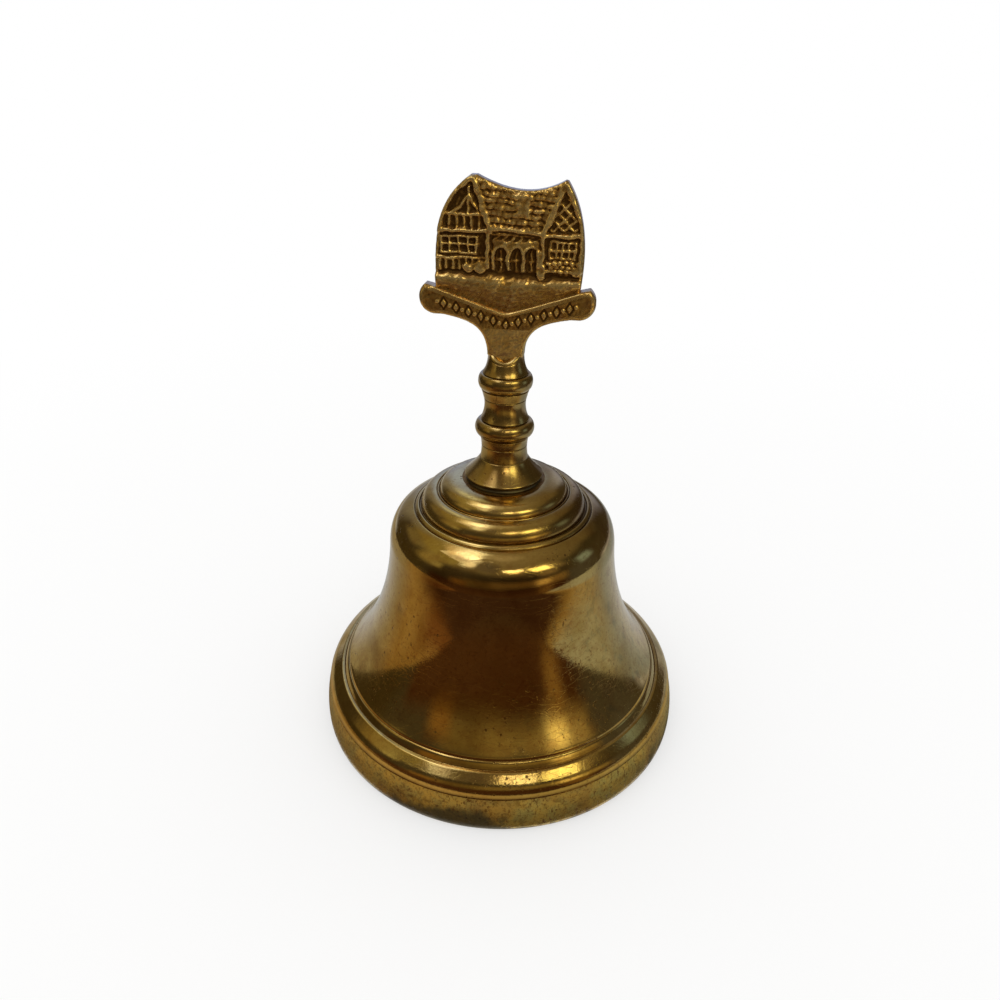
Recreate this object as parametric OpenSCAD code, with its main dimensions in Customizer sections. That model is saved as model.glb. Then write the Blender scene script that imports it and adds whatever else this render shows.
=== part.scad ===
// Brass table bell: a cast bell on its rim, a cast and turned handle with a
// flat picture plaque, and a clapper hung from an eye bolt inside the crown.
// Millimetres, +Z up, origin on the axis at the bottom of the rim.
// The plaque faces -Y.

/* [Lip] */
// Widest outside radius, on the plain band of the lip
lip_r = 36.15; // [34:0.05:40]
// Height of the plain band above the rim
lip_band_h = 6.8; // [5:0.1:9]
// How far the band draws in from its widest place to its top
lip_taper = 0.75; // [0.2:0.05:1.2]
// Height above the rim at which the band is widest
lip_belly_z = 1.4; // [0.8:0.1:3]
// Thickness of the rim where the bell stands on it
rim_t = 2.9; // [2:0.1:4]
// Rounding of the two edges of the rim
rim_round = 0.45; // [0.1:0.05:0.8]

/* [Mouldings above the lip] */
// Width of the round moulding, measured inwards
ovolo_w = 2.9; // [2.2:0.05:3.5]
// Height of the round moulding
ovolo_h = 3.35; // [2.5:0.05:4]
// Depth of the fine groove between the band and the moulding
quirk_d = 0.2; // [0.05:0.05:0.4]
// Width of the flat ledge on top of the moulding
ledge_w = 0.35; // [0.2:0.05:0.6]
// Width of the small bead under the waist, measured inwards
bead_w = 1.15; // [0.8:0.05:1.4]
// Height of the small bead under the waist
bead_h = 1.15; // [0.8:0.05:1.6]
// Height of the bevel at the foot of the waist
bevel_h = 0.4; // [0.2:0.05:0.7]

/* [Waist and shoulder] */
// Narrowest outside radius, just under the shoulder
waist_r = 21.35; // [19:0.05:22.5]
// Height from the bevel to the narrowest place
waist_h = 27; // [22:0.5:32]
// Height of the round shoulder
shoulder_h = 6.4; // [5:0.1:8]
// Radius at which the shoulder meets the crown
shoulder_top_r = 16.6; // [15.9:0.1:17.5]
// Thickness of the wall and the crown
wall_t = 2.3; // [1.6:0.1:3]

/* [Crown] */
// Width of the flat ring round the crown
crown_ring_w = 1.4; // [0.8:0.1:2]
// Rise of the lower crown step
low_step_h = 2.9; // [2:0.1:4]
// Radius of the groove between the two crown steps
mid_groove_r = 11.75; // [11:0.05:12.5]
// Rise of the upper crown step
top_step_h = 2.3; // [1.5:0.1:3]
// Depth of the grooves in the crown
groove_d = 0.3; // [0.1:0.05:0.5]
// Width of the grooves in the crown
groove_w = 0.6; // [0.3:0.05:0.9]
// Width of the flat land on the crown outside the handle's foot
seat_land_w = 0.5; // [0.2:0.1:1]

/* [Turned stem] */
// Radius of the foot that stands on the crown
foot_r = 7.1; // [6:0.1:8]
// Height of the upright rim of the foot
foot_rim_h = 1.1; // [0.6:0.1:2]
// Height of the flare above the rim
flare_h = 3.2; // [2:0.1:5]
// Radius at the top of the flare
flare_top_r = 4.4; // [4.2:0.1:5]
// Narrowest radius between the flare and the lower bead
neck_r = 4.1; // [3.6:0.05:4.2]
// Length of that narrow stretch
neck_h = 4.3; // [3:0.1:6]
// Radius of the lower bead
low_bead_r = 5.25; // [4.8:0.05:6]
// Height of the lower bead
low_bead_h = 2.9; // [2:0.1:4]
// Narrowest radius between the two beads
cove_r = 3.63; // [3.2:0.01:3.9]
// Length of the cove between the two beads
cove_h = 5.7; // [4:0.1:8]
// Radius of the upper bead
top_bead_r = 4.72; // [4.3:0.01:5.4]
// Height of the upper bead
top_bead_h = 2.7; // [2:0.1:3.6]
// Radius of the stem where each bead springs from it
bead_root_r = 4.1; // [3.9:0.05:4.25]
// Narrowest radius under the bracket
throat_r = 3.05; // [2.6:0.05:3.4]
// Length from the upper bead to the narrowest place
throat_h = 3.6; // [2.5:0.1:5]

/* [Bracket, banner and plaque] */
// Rise from the throat to the underside of the banner
bracket_h = 6.1; // [5:0.1:8]
// Half length of the banner to the tips of its round ends
banner_half = 14.35; // [13:0.05:16]
// Radius of the banner's round ends
banner_end_r = 2.7; // [2:0.05:3.2]
// Thickness of the banner and bracket
banner_t = 4.2; // [3.4:0.1:5.5]
// Half width of the plaque at its foot
plaque_half = 11.7; // [10.5:0.1:12.5]
// Height of the left gable above the middle of the banner
left_gable_h = 18.4; // [15:0.1:21]
// Place of the left gable, left of the axis
left_gable_x = 5.3; // [4:0.1:7]
// How much lower the right gable stands
right_gable_drop = 0.5; // [0:0.1:1.5]
// Place of the right gable, right of the axis
right_gable_x = 8.7; // [7.5:0.1:9.5]
// Depth of the sag between the gables
ridge_sag = 1.8; // [0.5:0.1:3]
// Thickness of the plaque with its carving
plaque_t = 3.3; // [2.6:0.1:4]

/* [Eye bolt, washer and nut] */
// Radius of the bolt's thread
bolt_r = 1.95; // [1.5:0.05:2.2]
// Length of thread held in the handle's foot
bolt_grip = 7; // [5:0.5:8]
// Space left above the bolt in the tapped hole
bolt_end_gap = 0.8; // [0.5:0.1:1.5]
// Radial clearance of the thread in the handle and the nut
thread_gap = 0.05; // [0.02:0.01:0.08]
// Radial clearance of the bolt in the crown and the washer
hole_gap = 0.25; // [0.15:0.05:0.4]
// Radius of the washer
washer_r = 4.5; // [4.2:0.1:5.5]
// Thickness of the washer
washer_t = 0.8; // [0.5:0.1:1.2]
// Distance across the flats of the nut
nut_af = 7; // [6.4:0.1:8]
// Height of the nut
nut_h = 3.2; // [2.4:0.1:4]
// Length of bare thread between the nut and the eye
bolt_tail = 0.6; // [0.3:0.1:2]
// Radius of the wire of the eye
eye_wire_r = 0.9; // [0.7:0.05:1]
// Inside radius of the eye
eye_in_r = 1.8; // [1.6:0.05:2.2]

/* [Clapper] */
// Radius of the wire of the link
link_wire_r = 0.7; // [0.5:0.05:0.75]
// Distance between the two places where the link bears
link_pitch = 5.4; // [5:0.1:7]
// Clearance between wires that hang in each other
hang_gap = 0.25; // [0.2:0.01:0.3]
// Radius of the wire of the clapper
rod_r = 0.8; // [0.6:0.05:0.8]
// Height of the ball's middle above the rim
ball_z = 8.8; // [8:0.1:11]
// Radius of the ball
ball_r = 5.6; // [4.5:0.1:5.8]
// Radial clearance of the wire in the ball
ball_gap = 0.03; // [0.02:0.01:0.05]
// Radius of the riveted head under the ball
rivet_r = 1.5; // [1.2:0.1:1.9]
// Height of the riveted head
rivet_h = 0.6; // [0.4:0.1:0.8]

/* [Hidden] */

BRASS = [0.70, 0.52, 0.20];
OLD_BRASS = [0.60, 0.43, 0.17];
STEEL = [0.55, 0.55, 0.54];
LATHE_FN = 128;
WIRE_FN = 32;
OVERLAP = 0.01;

// Heights and radii that follow from the sizes above, from the rim upwards
ovolo_z = lip_band_h + quirk_d;
ledge_z = ovolo_z + ovolo_h;
ledge_r = lip_r - lip_taper - ovolo_w;
bead_r = ledge_r - ledge_w;
bevel_z = ledge_z + bead_h;
waist_foot_r = bead_r - bead_w;
waist_z = bevel_z + bevel_h;
waist_top_z = waist_z + waist_h;
shoulder_z = waist_top_z + shoulder_h;
ring_in_r = shoulder_top_r - crown_ring_w;
ring_rise = 0.35 * crown_ring_w;
step_z = shoulder_z + ring_rise + low_step_h;
seat_z = step_z + top_step_h;
seat_r = foot_r + seat_land_w;
flare_z = seat_z + foot_rim_h;
neck_z = flare_z + flare_h;
low_bead_z = neck_z + neck_h;
cove_z = low_bead_z + low_bead_h;
top_bead_z = cove_z + cove_h;
throat_z = top_bead_z + top_bead_h;
bracket_z = throat_z + throat_h;
banner_z = bracket_z + bracket_h;
banner_end_z = banner_z + banner_end_r;
banner_mid_z = banner_z + 0.6;
banner_end_x = banner_half - banner_end_r;
banner_shoulder_z = banner_end_z + 0.65 * banner_end_r;
left_gable_z = banner_mid_z + 2.1 + left_gable_h;
right_gable_z = left_gable_z - right_gable_drop;
back_y = banner_t / 2 - 0.4;
seat_hole_r = bolt_r + hole_gap;
tap_r = bolt_r + thread_gap;

// Points of a cubic curve from a to d, drawn towards b and c
function curve(a, b, c, d, n) = [
    for (i = [0:n])
        let (t = i / n, s = 1 - t)
            s * s * s * a + 3 * s * s * t * b + 3 * s * t * t * c + t * t * t * d
];
// Points of a half round that bulges by w between two heights
function half_round(r, w, z0, z1, n) = [
    for (i = [0:n])
        let (a = 180 * i / n)
            [r + w * sin(a), (z0 + z1) / 2 - (z1 - z0) / 2 * cos(a)]
];
// A path moved sideways by t, to the left of its direction
function shifted(path, t) = [
    for (i = [0:len(path) - 1])
        let (
            a = path[max(i - 1, 0)],
            b = path[min(i + 1, len(path) - 1)],
            d = (b - a) / norm(b - a)
        )
            path[i] + t * [-d[1], d[0]]
];
// A list of points in the opposite order
function reversed(path) = [for (i = [len(path) - 1:-1:0]) path[i]];
// A list of points mirrored to the other side of the axis
function mirrored(path) = [for (p = reversed(path)) [-p[0], p[1]]];

// Outside of the bell, in order from the rim to the crown
lip_outside = concat(
    curve([lip_r - rim_round, 0], [lip_r - 0.4 * rim_round, 0], [lip_r - 0.05 * rim_round, 0.4 * rim_round],
        [lip_r, lip_belly_z], 4),
    [for (i = [1:5])
        let (s = i / 5)
            [lip_r - lip_taper * s * s, lip_belly_z + s * (lip_band_h - lip_belly_z)]]
);
ovolo_outside = curve(
    [lip_r - lip_taper - quirk_d, ovolo_z],
    [lip_r - lip_taper + 0.15, ovolo_z + 0.35 * ovolo_h],
    [ledge_r + 0.45 * ovolo_w, ledge_z - 0.12 * ovolo_h],
    [ledge_r, ledge_z],
    7
);
small_bead = curve(
    [bead_r, ledge_z],
    [bead_r + 0.25, ledge_z + 0.45 * bead_h],
    [waist_foot_r + 0.75 * bead_w, bevel_z],
    [waist_foot_r + 0.2, bevel_z],
    5
);
waist_outside = curve(
    [waist_foot_r, waist_z],
    [waist_foot_r - 0.51 * (waist_foot_r - waist_r), waist_z + 0.207 * waist_h],
    [waist_r + 0.065 * (waist_foot_r - waist_r), waist_top_z - 0.433 * waist_h],
    [waist_r, waist_top_z],
    18
);
shoulder_outside = curve(
    [waist_r, waist_top_z],
    [waist_r - 0.3, waist_top_z + 0.55 * shoulder_h],
    [shoulder_top_r + 0.6 * (waist_r - shoulder_top_r), shoulder_z - 0.15 * shoulder_h],
    [shoulder_top_r, shoulder_z],
    9
);
crown_outside = concat(
    [
        [shoulder_top_r, shoulder_z - groove_d],
        [shoulder_top_r - 0.3 * groove_w, shoulder_z - groove_d],
        [shoulder_top_r - 0.4 * groove_w, shoulder_z + 0.4 * ring_rise]
    ],
    [
        [ring_in_r + groove_w, shoulder_z + ring_rise],
        [ring_in_r + 0.9 * groove_w, shoulder_z + ring_rise - groove_d],
        [ring_in_r, shoulder_z + ring_rise - groove_d]
    ],
    curve(
        [ring_in_r, shoulder_z + ring_rise],
        [ring_in_r, shoulder_z + ring_rise + 0.6 * low_step_h],
        [mid_groove_r + 0.62 * (ring_in_r - mid_groove_r), step_z - 0.02 * low_step_h],
        [mid_groove_r + groove_w, step_z],
        6
    ),
    [
        [mid_groove_r + 0.8 * groove_w, step_z - groove_d],
        [mid_groove_r, step_z - groove_d]
    ],
    curve(
        [mid_groove_r, step_z],
        [mid_groove_r - 0.1, step_z + 0.6 * top_step_h],
        [seat_r + 0.6 * (mid_groove_r - seat_r), seat_z - 0.02 * top_step_h],
        [seat_r, seat_z],
        6
    )
);
// The inside follows the waist, the shoulder and a plain dome under the crown
inside_path = shifted(
    concat(
        waist_outside,
        [for (i = [1:9]) shoulder_outside[i]],
        [[mid_groove_r + 0.5 * groove_w, step_z - groove_d], [seat_r, seat_z]]
    ),
    wall_t
);
ceiling_z = inside_path[len(inside_path) - 1][1];
mouth_inside = curve(
    inside_path[0],
    inside_path[0] + [1.1, -0.3 * waist_z],
    [lip_r - rim_t - 0.9, 0.35 * waist_z],
    [lip_r - rim_t, rim_round],
    6
);

// Places of what hangs inside, from the ceiling downwards
washer_z = ceiling_z - washer_t;
nut_z = washer_z - nut_h;
eye_mid_r = eye_in_r + eye_wire_r;
eye_z = nut_z - bolt_tail - eye_wire_r - eye_mid_r;
link_z = eye_z - eye_mid_r;
link_end_r = eye_wire_r + hang_gap + link_wire_r;
rod_z = link_z - link_pitch;
loop_r = link_wire_r + hang_gap + rod_r;
ball_flat_z = ball_z - sqrt(ball_r * ball_r - rivet_r * rivet_r);

module bell_body() {
    color(BRASS)
        difference() {
            rotate_extrude($fn = LATHE_FN)
                polygon(concat(
                    lip_outside,
                    ovolo_outside,
                    small_bead,
                    waist_outside,
                    [for (i = [1:9]) shoulder_outside[i]],
                    crown_outside,
                    [[0, seat_z], [0, ceiling_z]],
                    reversed(inside_path),
                    [for (i = [1:6]) mouth_inside[i]],
                    [[lip_r - rim_t + rim_round, 0]]
                ));
            translate([0, 0, ceiling_z - 1])
                cylinder(h = seat_z - ceiling_z + 2, r = seat_hole_r, $fn = 48);
        }
}

// Outline of the turned stem from the foot to the throat
stem_outline = concat(
    [[0, seat_z], [foot_r - 0.15, seat_z], [foot_r, seat_z + 0.15]],
    curve(
        [foot_r, flare_z],
        [foot_r - 0.45 * (foot_r - flare_top_r), flare_z + 0.34 * flare_h],
        [flare_top_r + 0.17 * (foot_r - flare_top_r), flare_z + 0.7 * flare_h],
        [flare_top_r, neck_z],
        6
    ),
    curve(
        [flare_top_r - 0.12, neck_z + 0.1],
        [neck_r - 0.05, neck_z + 0.35 * neck_h],
        [neck_r - 0.05, low_bead_z - 0.35 * neck_h],
        [bead_root_r + 0.2, low_bead_z - 0.25],
        6
    ),
    half_round(bead_root_r, low_bead_r - bead_root_r, low_bead_z, cove_z, 8),
    curve(
        [bead_root_r + 0.1, cove_z + 0.2],
        [cove_r - 0.05, cove_z + 0.35 * cove_h],
        [cove_r - 0.2, top_bead_z - 0.35 * cove_h],
        [bead_root_r + 0.1, top_bead_z - 0.2],
        7
    ),
    half_round(bead_root_r - 0.15, top_bead_r - bead_root_r + 0.15, top_bead_z, throat_z, 8),
    curve(
        [bead_root_r - 0.2, throat_z + 0.1],
        [throat_r + 0.2, throat_z + 0.3 * throat_h],
        [throat_r, throat_z + 0.7 * throat_h],
        [throat_r, bracket_z],
        6
    ),
    [[throat_r - 0.25, bracket_z + 0.35], [throat_r - 0.8, bracket_z + 0.6], [0, bracket_z + 0.6]]
);

// Right half of the bracket and banner outline, from the throat to the tip and back to the middle
banner_right = concat(
    curve(
        [throat_r, bracket_z],
        [throat_r + 0.15, bracket_z + 0.75 * bracket_h],
        [throat_r + 3.2, banner_z - 0.12 * bracket_h],
        [banner_end_x - 1.2, banner_z],
        10
    ),
    [for (a = [-90:18:54]) [banner_end_x + banner_end_r * cos(a), banner_end_z + banner_end_r * sin(a)]],
    [[plaque_half, banner_shoulder_z]],
    [[1.4, banner_mid_z + 0.45]]
);

// Outline of the plaque: upright sides that lean in to two gables with a sagging ridge between them
plaque_outline = concat(
    [[-plaque_half, banner_end_z], [-plaque_half, banner_shoulder_z]],
    curve(
        [-plaque_half + 0.1, banner_shoulder_z],
        [-plaque_half - 0.2, banner_shoulder_z + 0.48 * left_gable_h],
        [-left_gable_x - 5.5, left_gable_z - 0.19 * left_gable_h],
        [-left_gable_x - 0.5, left_gable_z],
        10
    ),
    curve(
        [-left_gable_x + 0.4, left_gable_z],
        [-left_gable_x + 4.1, left_gable_z - ridge_sag],
        [right_gable_x - 5, left_gable_z - 1.8 * ridge_sag],
        [right_gable_x - 0.2, right_gable_z],
        10
    ),
    curve(
        [right_gable_x + 0.2, right_gable_z - 0.1],
        [right_gable_x + 2.7, right_gable_z - 0.2 * left_gable_h],
        [plaque_half + 0.9, banner_shoulder_z + 0.4 * left_gable_h],
        [plaque_half, banner_shoulder_z],
        10
    ),
    [[plaque_half, banner_end_z], [0, banner_mid_z]]
);

// A flat outline in X and Z stood upright, between two places along Y
module upright_plate(front_y, rear_y) {
    translate([0, rear_y, 0])
        rotate([90, 0, 0])
            linear_extrude(height = rear_y - front_y)
                children();
}

module handle() {
    color(OLD_BRASS)
        difference() {
            union() {
                rotate_extrude($fn = LATHE_FN)
                    polygon(stem_outline);
                upright_plate(-banner_t / 2, back_y)
                    polygon(concat(banner_right, mirrored(banner_right)));
                upright_plate(back_y - plaque_t, back_y)
                    polygon(plaque_outline);
            }
            translate([0, 0, seat_z - OVERLAP])
                cylinder(h = bolt_grip + bolt_end_gap + OVERLAP, r = tap_r, $fn = 48);
        }
}

// A ring of round wire that lies in the XZ plane
module wire_ring(mid_r, wire_r) {
    rotate([90, 0, 0])
        rotate_extrude($fn = 64)
            translate([mid_r, 0])
                circle(r = wire_r, $fn = WIRE_FN);
}

module eye_bolt() {
    color(STEEL)
        union() {
            translate([0, 0, eye_z])
                wire_ring(eye_mid_r, eye_wire_r);
            translate([0, 0, eye_z + eye_mid_r])
                cylinder(h = seat_z + bolt_grip - eye_z - eye_mid_r, r = bolt_r, $fn = 48);
        }
}

module crown_washer() {
    color(STEEL)
        translate([0, 0, washer_z])
            difference() {
                cylinder(h = washer_t, r = washer_r, $fn = 64);
                translate([0, 0, -1])
                    cylinder(h = washer_t + 2, r = seat_hole_r, $fn = 48);
            }
}

module clamp_nut() {
    color(STEEL)
        translate([0, 0, nut_z])
            difference() {
                cylinder(h = nut_h, r = nut_af / sqrt(3), $fn = 6);
                translate([0, 0, -1])
                    cylinder(h = nut_h + 2, r = tap_r, $fn = 48);
            }
}

// Half of a wire ring in the YZ plane, bulging upwards
module link_end() {
    rotate([0, -90, 0])
        rotate([0, 0, -90])
            rotate_extrude(angle = 180, $fn = 64)
                translate([link_end_r, 0])
                    circle(r = link_wire_r, $fn = WIRE_FN);
}

module clapper_link() {
    color(STEEL)
        union() {
            translate([0, 0, link_z])
                link_end();
            translate([0, 0, rod_z + link_end_r])
                mirror([0, 0, 1])
                    link_end();
            for (side = [-1, 1])
                translate([0, side * link_end_r, rod_z + link_end_r])
                    cylinder(h = link_z - rod_z - link_end_r, r = link_wire_r, $fn = WIRE_FN);
        }
}

module clapper_rod() {
    color(STEEL)
        union() {
            translate([0, 0, rod_z])
                wire_ring(loop_r, rod_r);
            translate([0, 0, ball_flat_z - rivet_h])
                cylinder(h = rod_z - loop_r - ball_flat_z + rivet_h, r = rod_r, $fn = WIRE_FN);
            translate([0, 0, ball_flat_z - rivet_h])
                cylinder(h = rivet_h, r = rivet_r, $fn = 48);
        }
}

module clapper_ball() {
    color(BRASS)
        difference() {
            translate([0, 0, ball_z])
                sphere(r = ball_r, $fn = 96);
            translate([0, 0, ball_z - 2 * ball_r])
                cylinder(h = 4 * ball_r, r = rod_r + ball_gap, $fn = WIRE_FN);
            translate([0, 0, ball_flat_z - ball_r])
                cylinder(h = ball_r, r = 2 * rivet_r, $fn = 48);
        }
}

bell_body();
handle();
eye_bolt();
crown_washer();
clamp_nut();
clapper_link();
clapper_rod();
clapper_ball();
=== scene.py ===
"""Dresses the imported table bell: turned bell, cast handle with its relief, clapper and fixings."""

import math

import bpy
import numpy as np
from bpy.props import FloatProperty, FloatVectorProperty, IntProperty, PointerProperty
from mathutils import Matrix, Vector


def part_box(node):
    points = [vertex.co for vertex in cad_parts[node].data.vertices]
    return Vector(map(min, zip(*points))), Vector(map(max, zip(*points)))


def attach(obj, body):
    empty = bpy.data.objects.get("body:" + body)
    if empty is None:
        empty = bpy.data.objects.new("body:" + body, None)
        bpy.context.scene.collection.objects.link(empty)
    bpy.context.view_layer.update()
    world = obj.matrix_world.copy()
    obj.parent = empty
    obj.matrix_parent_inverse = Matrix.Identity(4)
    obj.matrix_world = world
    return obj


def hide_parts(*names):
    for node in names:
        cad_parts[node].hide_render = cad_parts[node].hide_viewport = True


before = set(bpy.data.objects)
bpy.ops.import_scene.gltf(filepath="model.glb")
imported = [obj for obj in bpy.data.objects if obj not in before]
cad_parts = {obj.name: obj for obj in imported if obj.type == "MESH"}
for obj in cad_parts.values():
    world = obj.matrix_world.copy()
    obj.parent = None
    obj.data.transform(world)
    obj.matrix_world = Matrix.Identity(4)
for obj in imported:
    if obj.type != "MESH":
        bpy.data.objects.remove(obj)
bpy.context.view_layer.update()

bl_info = {
    "name": "Table bell",
    "version": (1, 0, 0),
    "blender": (4, 5, 0),
    "location": "View3D > Sidebar > Table bell",
    "description": "Builds the finish, the relief and the small parts of a brass table bell",
    "category": "Add Mesh",
}

MM = 0.001


def corners(box):
    """The lowest and the highest corner of a box, in millimetres."""
    return [np.array(corner) / MM for corner in box]


BELL_HIGH = corners(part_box("bell_body"))[1]
HANDLE_LOW = corners(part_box("handle"))[0]
BOLT_LOW, BOLT_HIGH = corners(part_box("eye_bolt"))
WASHER_LOW, WASHER_HIGH = corners(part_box("crown_washer"))
NUT_LOW, NUT_HIGH = corners(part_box("clamp_nut"))
LINK_LOW, LINK_HIGH = corners(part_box("clapper_link"))
ROD_LOW, ROD_HIGH = corners(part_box("clapper_rod"))
BALL_LOW, BALL_HIGH = corners(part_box("clapper_ball"))


def length(name, description, millimetres, low, high):
    """A size that a user may change, given in millimetres and kept in metres."""
    return FloatProperty(
        name=name, description=description, default=millimetres * MM, min=low * MM, max=high * MM,
        precision=5, unit="LENGTH", subtype="DISTANCE",
    )


def colour(name, description, value):
    """A colour that a user may change."""
    return FloatVectorProperty(
        name=name, description=description, default=value, min=0.0, max=1.0, size=3, subtype="COLOR",
    )


class TableBellSizes(bpy.types.PropertyGroup):
    """Sizes of the bell and its handle."""

    rim_radius: length("Rim radius", "Widest radius of the lip", BELL_HIGH[0], 30, 40)
    seat_height: length("Seat height", "Height of the crown under the handle", BELL_HIGH[2], 45, 56)
    band_height: length("Band height", "Height of the plain band of the lip", 6.8, 5, 9)
    band_taper: length("Band taper", "How far the band draws in towards its top", 0.75, 0.2, 1.2)
    round_width: length("Moulding width", "Width of the round moulding above the lip", 2.9, 2.2, 3.5)
    round_height: length("Moulding height", "Height of the round moulding above the lip", 3.35, 2.5, 4)
    waist_radius: length("Waist radius", "Narrowest radius, under the shoulder", 21.35, 19, 22.5)
    shoulder_radius: length("Shoulder radius", "Radius where shoulder meets crown", 16.6, 15.9, 17.5)
    wall: length("Wall", "Thickness of the bell's wall", 2.3, 1.6, 3)
    foot_radius: length("Foot radius", "Radius of the handle's foot", 7.1, 6, 8)
    lower_bead_radius: length("Lower bead radius", "Radius of the stem's lower bead", 5.25, 4.8, 6)
    upper_bead_radius: length("Upper bead radius", "Radius of the stem's upper bead", 4.72, 4.3, 5.4)
    throat_radius: length("Throat radius", "Narrowest radius, under the bracket", 3.05, 2.6, 3.4)
    relief_spacing: length("Relief spacing", "Distance between the relief's points", 0.13, 0.08, 0.5)
    turn_steps: IntProperty(
        name="Turning steps", description="Steps round each turned piece", default=240, min=24
    )


class TableBellColours(bpy.types.PropertyGroup):
    """Colours of the finishes."""

    polished: colour("Polished brass", "Brass where hands keep it bright", (0.66, 0.48, 0.20))
    aged: colour("Aged brass", "Brass that has darkened", (0.50, 0.33, 0.11))
    heated: colour("Heat tint", "Orange and rose film on the waist", (0.60, 0.24, 0.06))
    rubbed: colour("Rubbed brass", "Raised parts of the casting", (0.71, 0.49, 0.19))
    hollow: colour("Hollow brass", "Deep parts of the casting", (0.17, 0.075, 0.024))
    dirt: colour("Dirt", "Old polish and dirt in grooves", (0.035, 0.024, 0.012))
    bloom: colour("Bloom", "Dull bloom on the lip", (0.56, 0.40, 0.13))
    zinc: colour("Zinc", "Plated steel of washer, nut and bolt", (0.42, 0.41, 0.39))
    wire: colour("Wire", "Drawn steel wire of link and clapper", (0.34, 0.32, 0.29))


class Wire:
    """A node socket that can be used in a sum, a product or a power."""

    def __init__(self, finish, socket):
        self.finish = finish
        self.socket = socket

    def __add__(self, other):
        return self.finish.maths("ADD", self, other)

    def __radd__(self, other):
        return self.finish.maths("ADD", other, self)

    def __sub__(self, other):
        return self.finish.maths("SUBTRACT", self, other)

    def __rsub__(self, other):
        return self.finish.maths("SUBTRACT", other, self)

    def __mul__(self, other):
        return self.finish.maths("MULTIPLY", self, other)

    def __rmul__(self, other):
        return self.finish.maths("MULTIPLY", other, self)

    def __truediv__(self, other):
        return self.finish.maths("DIVIDE", self, other)

    def __rtruediv__(self, other):
        return self.finish.maths("DIVIDE", other, self)

    def __pow__(self, other):
        return self.finish.maths("POWER", self, other)

    def __rpow__(self, other):
        return self.finish.maths("POWER", other, self)

    def __abs__(self):
        return self.finish.maths("ABSOLUTE", self)

    def rise(self, low, high):
        """0 below low, 1 above high and a smooth rise between them; low may be the larger."""
        values = {"Value": self, "From Min": min(low, high), "From Max": max(low, high)}
        settings = {"interpolation_type": "SMOOTHSTEP"}
        risen = self.finish.node("ShaderNodeMapRange", settings, values)
        return risen if low < high else 1 - risen


class Finish:
    """A material under construction."""

    def __init__(self, name):
        self.material = bpy.data.materials.new(name)
        self.material.use_nodes = True
        self.tree = self.material.node_tree
        self.tree.nodes.clear()

    def node(self, kind, settings=None, values=None, output=0):
        """Adds a node, sets it up, fills or links its sockets and returns one of its outputs."""
        made = self.tree.nodes.new(kind)
        for key, value in (settings or {}).items():
            setattr(made, key, value)
        for key, value in (values or {}).items():
            if isinstance(value, Wire):
                self.tree.links.new(value.socket, made.inputs[key])
            elif value is not None:
                made.inputs[key].default_value = value
        return Wire(self, made.outputs[output]) if made.outputs else made

    def maths(self, operation, *values):
        """One Math node on these values."""
        return self.node("ShaderNodeMath", {"operation": operation}, dict(enumerate(values)))

    def place(self):
        """The place on the object, in metres."""
        return self.node("ShaderNodeTexCoord", output="Object")

    def split(self, vector):
        """The three parts of a vector."""
        parts = self.node("ShaderNodeSeparateXYZ", values={0: vector})
        return [Wire(self, socket) for socket in parts.socket.node.outputs]

    def joined(self, x, y, z):
        """A vector from three values."""
        return self.node("ShaderNodeCombineXYZ", values={0: x, 1: y, 2: z})

    def stretched(self, vector, factors):
        """A vector with each part multiplied."""
        return self.node("ShaderNodeVectorMath", {"operation": "MULTIPLY"}, {0: vector, 1: factors})

    def noise(self, vector, scale, detail=3.0, roughness=0.55, distortion=0.0):
        """Smooth random values about 0.5."""
        values = {
            "Vector": vector, "Scale": scale, "Detail": detail, "Roughness": roughness,
            "Distortion": distortion,
        }
        return self.node("ShaderNodeTexNoise", values=values)

    def cells(self, vector, scale):
        """Distance to the nearest of many scattered points, 0 at each point."""
        return self.node("ShaderNodeTexVoronoi", values={"Vector": vector, "Scale": scale})

    def hairlines(self, vector, width):
        """Thin curved lines, 1 on each line and 0 beside it."""
        return abs(self.noise(vector, 1.0, 1.5, 0.4, 0.3) - 0.5).rise(width, 0.0)

    def attribute(self, name):
        """A value stored on the mesh."""
        return self.node("ShaderNodeAttribute", {"attribute_name": name}, output="Fac")

    def blend(self, factor, first, second):
        """The first colour where factor is 0 and the second where it is 1."""
        values = {0: factor, 6: opaque(first), 7: opaque(second)}
        return self.node("ShaderNodeMix", {"data_type": "RGBA"}, values, output=2)

    def bump(self, height, strength, distance):
        """A normal that follows a height."""
        values = {"Height": height, "Strength": strength, "Distance": distance}
        return self.node("ShaderNodeBump", values=values)

    def metal(self, base, roughness, normal, metallic=1.0):
        """Ends the material as metal; a value under 1 is metal under a dull skin."""
        values = {"Base Color": base, "Metallic": metallic, "Roughness": roughness, "Normal": normal}
        surface = self.node("ShaderNodeBsdfPrincipled", values=values)
        return self.end(surface)

    def glow(self, tint):
        """Ends the material as a surface that shines by itself."""
        return self.end(self.node("ShaderNodeEmission", values={"Color": tint, "Strength": 1.0}))

    def end(self, surface):
        """Joins the last shader to the output."""
        self.node("ShaderNodeOutputMaterial", values={"Surface": surface})
        return self.material


def opaque(value):
    """A colour with its alpha, or a link as it is."""
    return value if isinstance(value, Wire) else (*value, 1.0)


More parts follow.
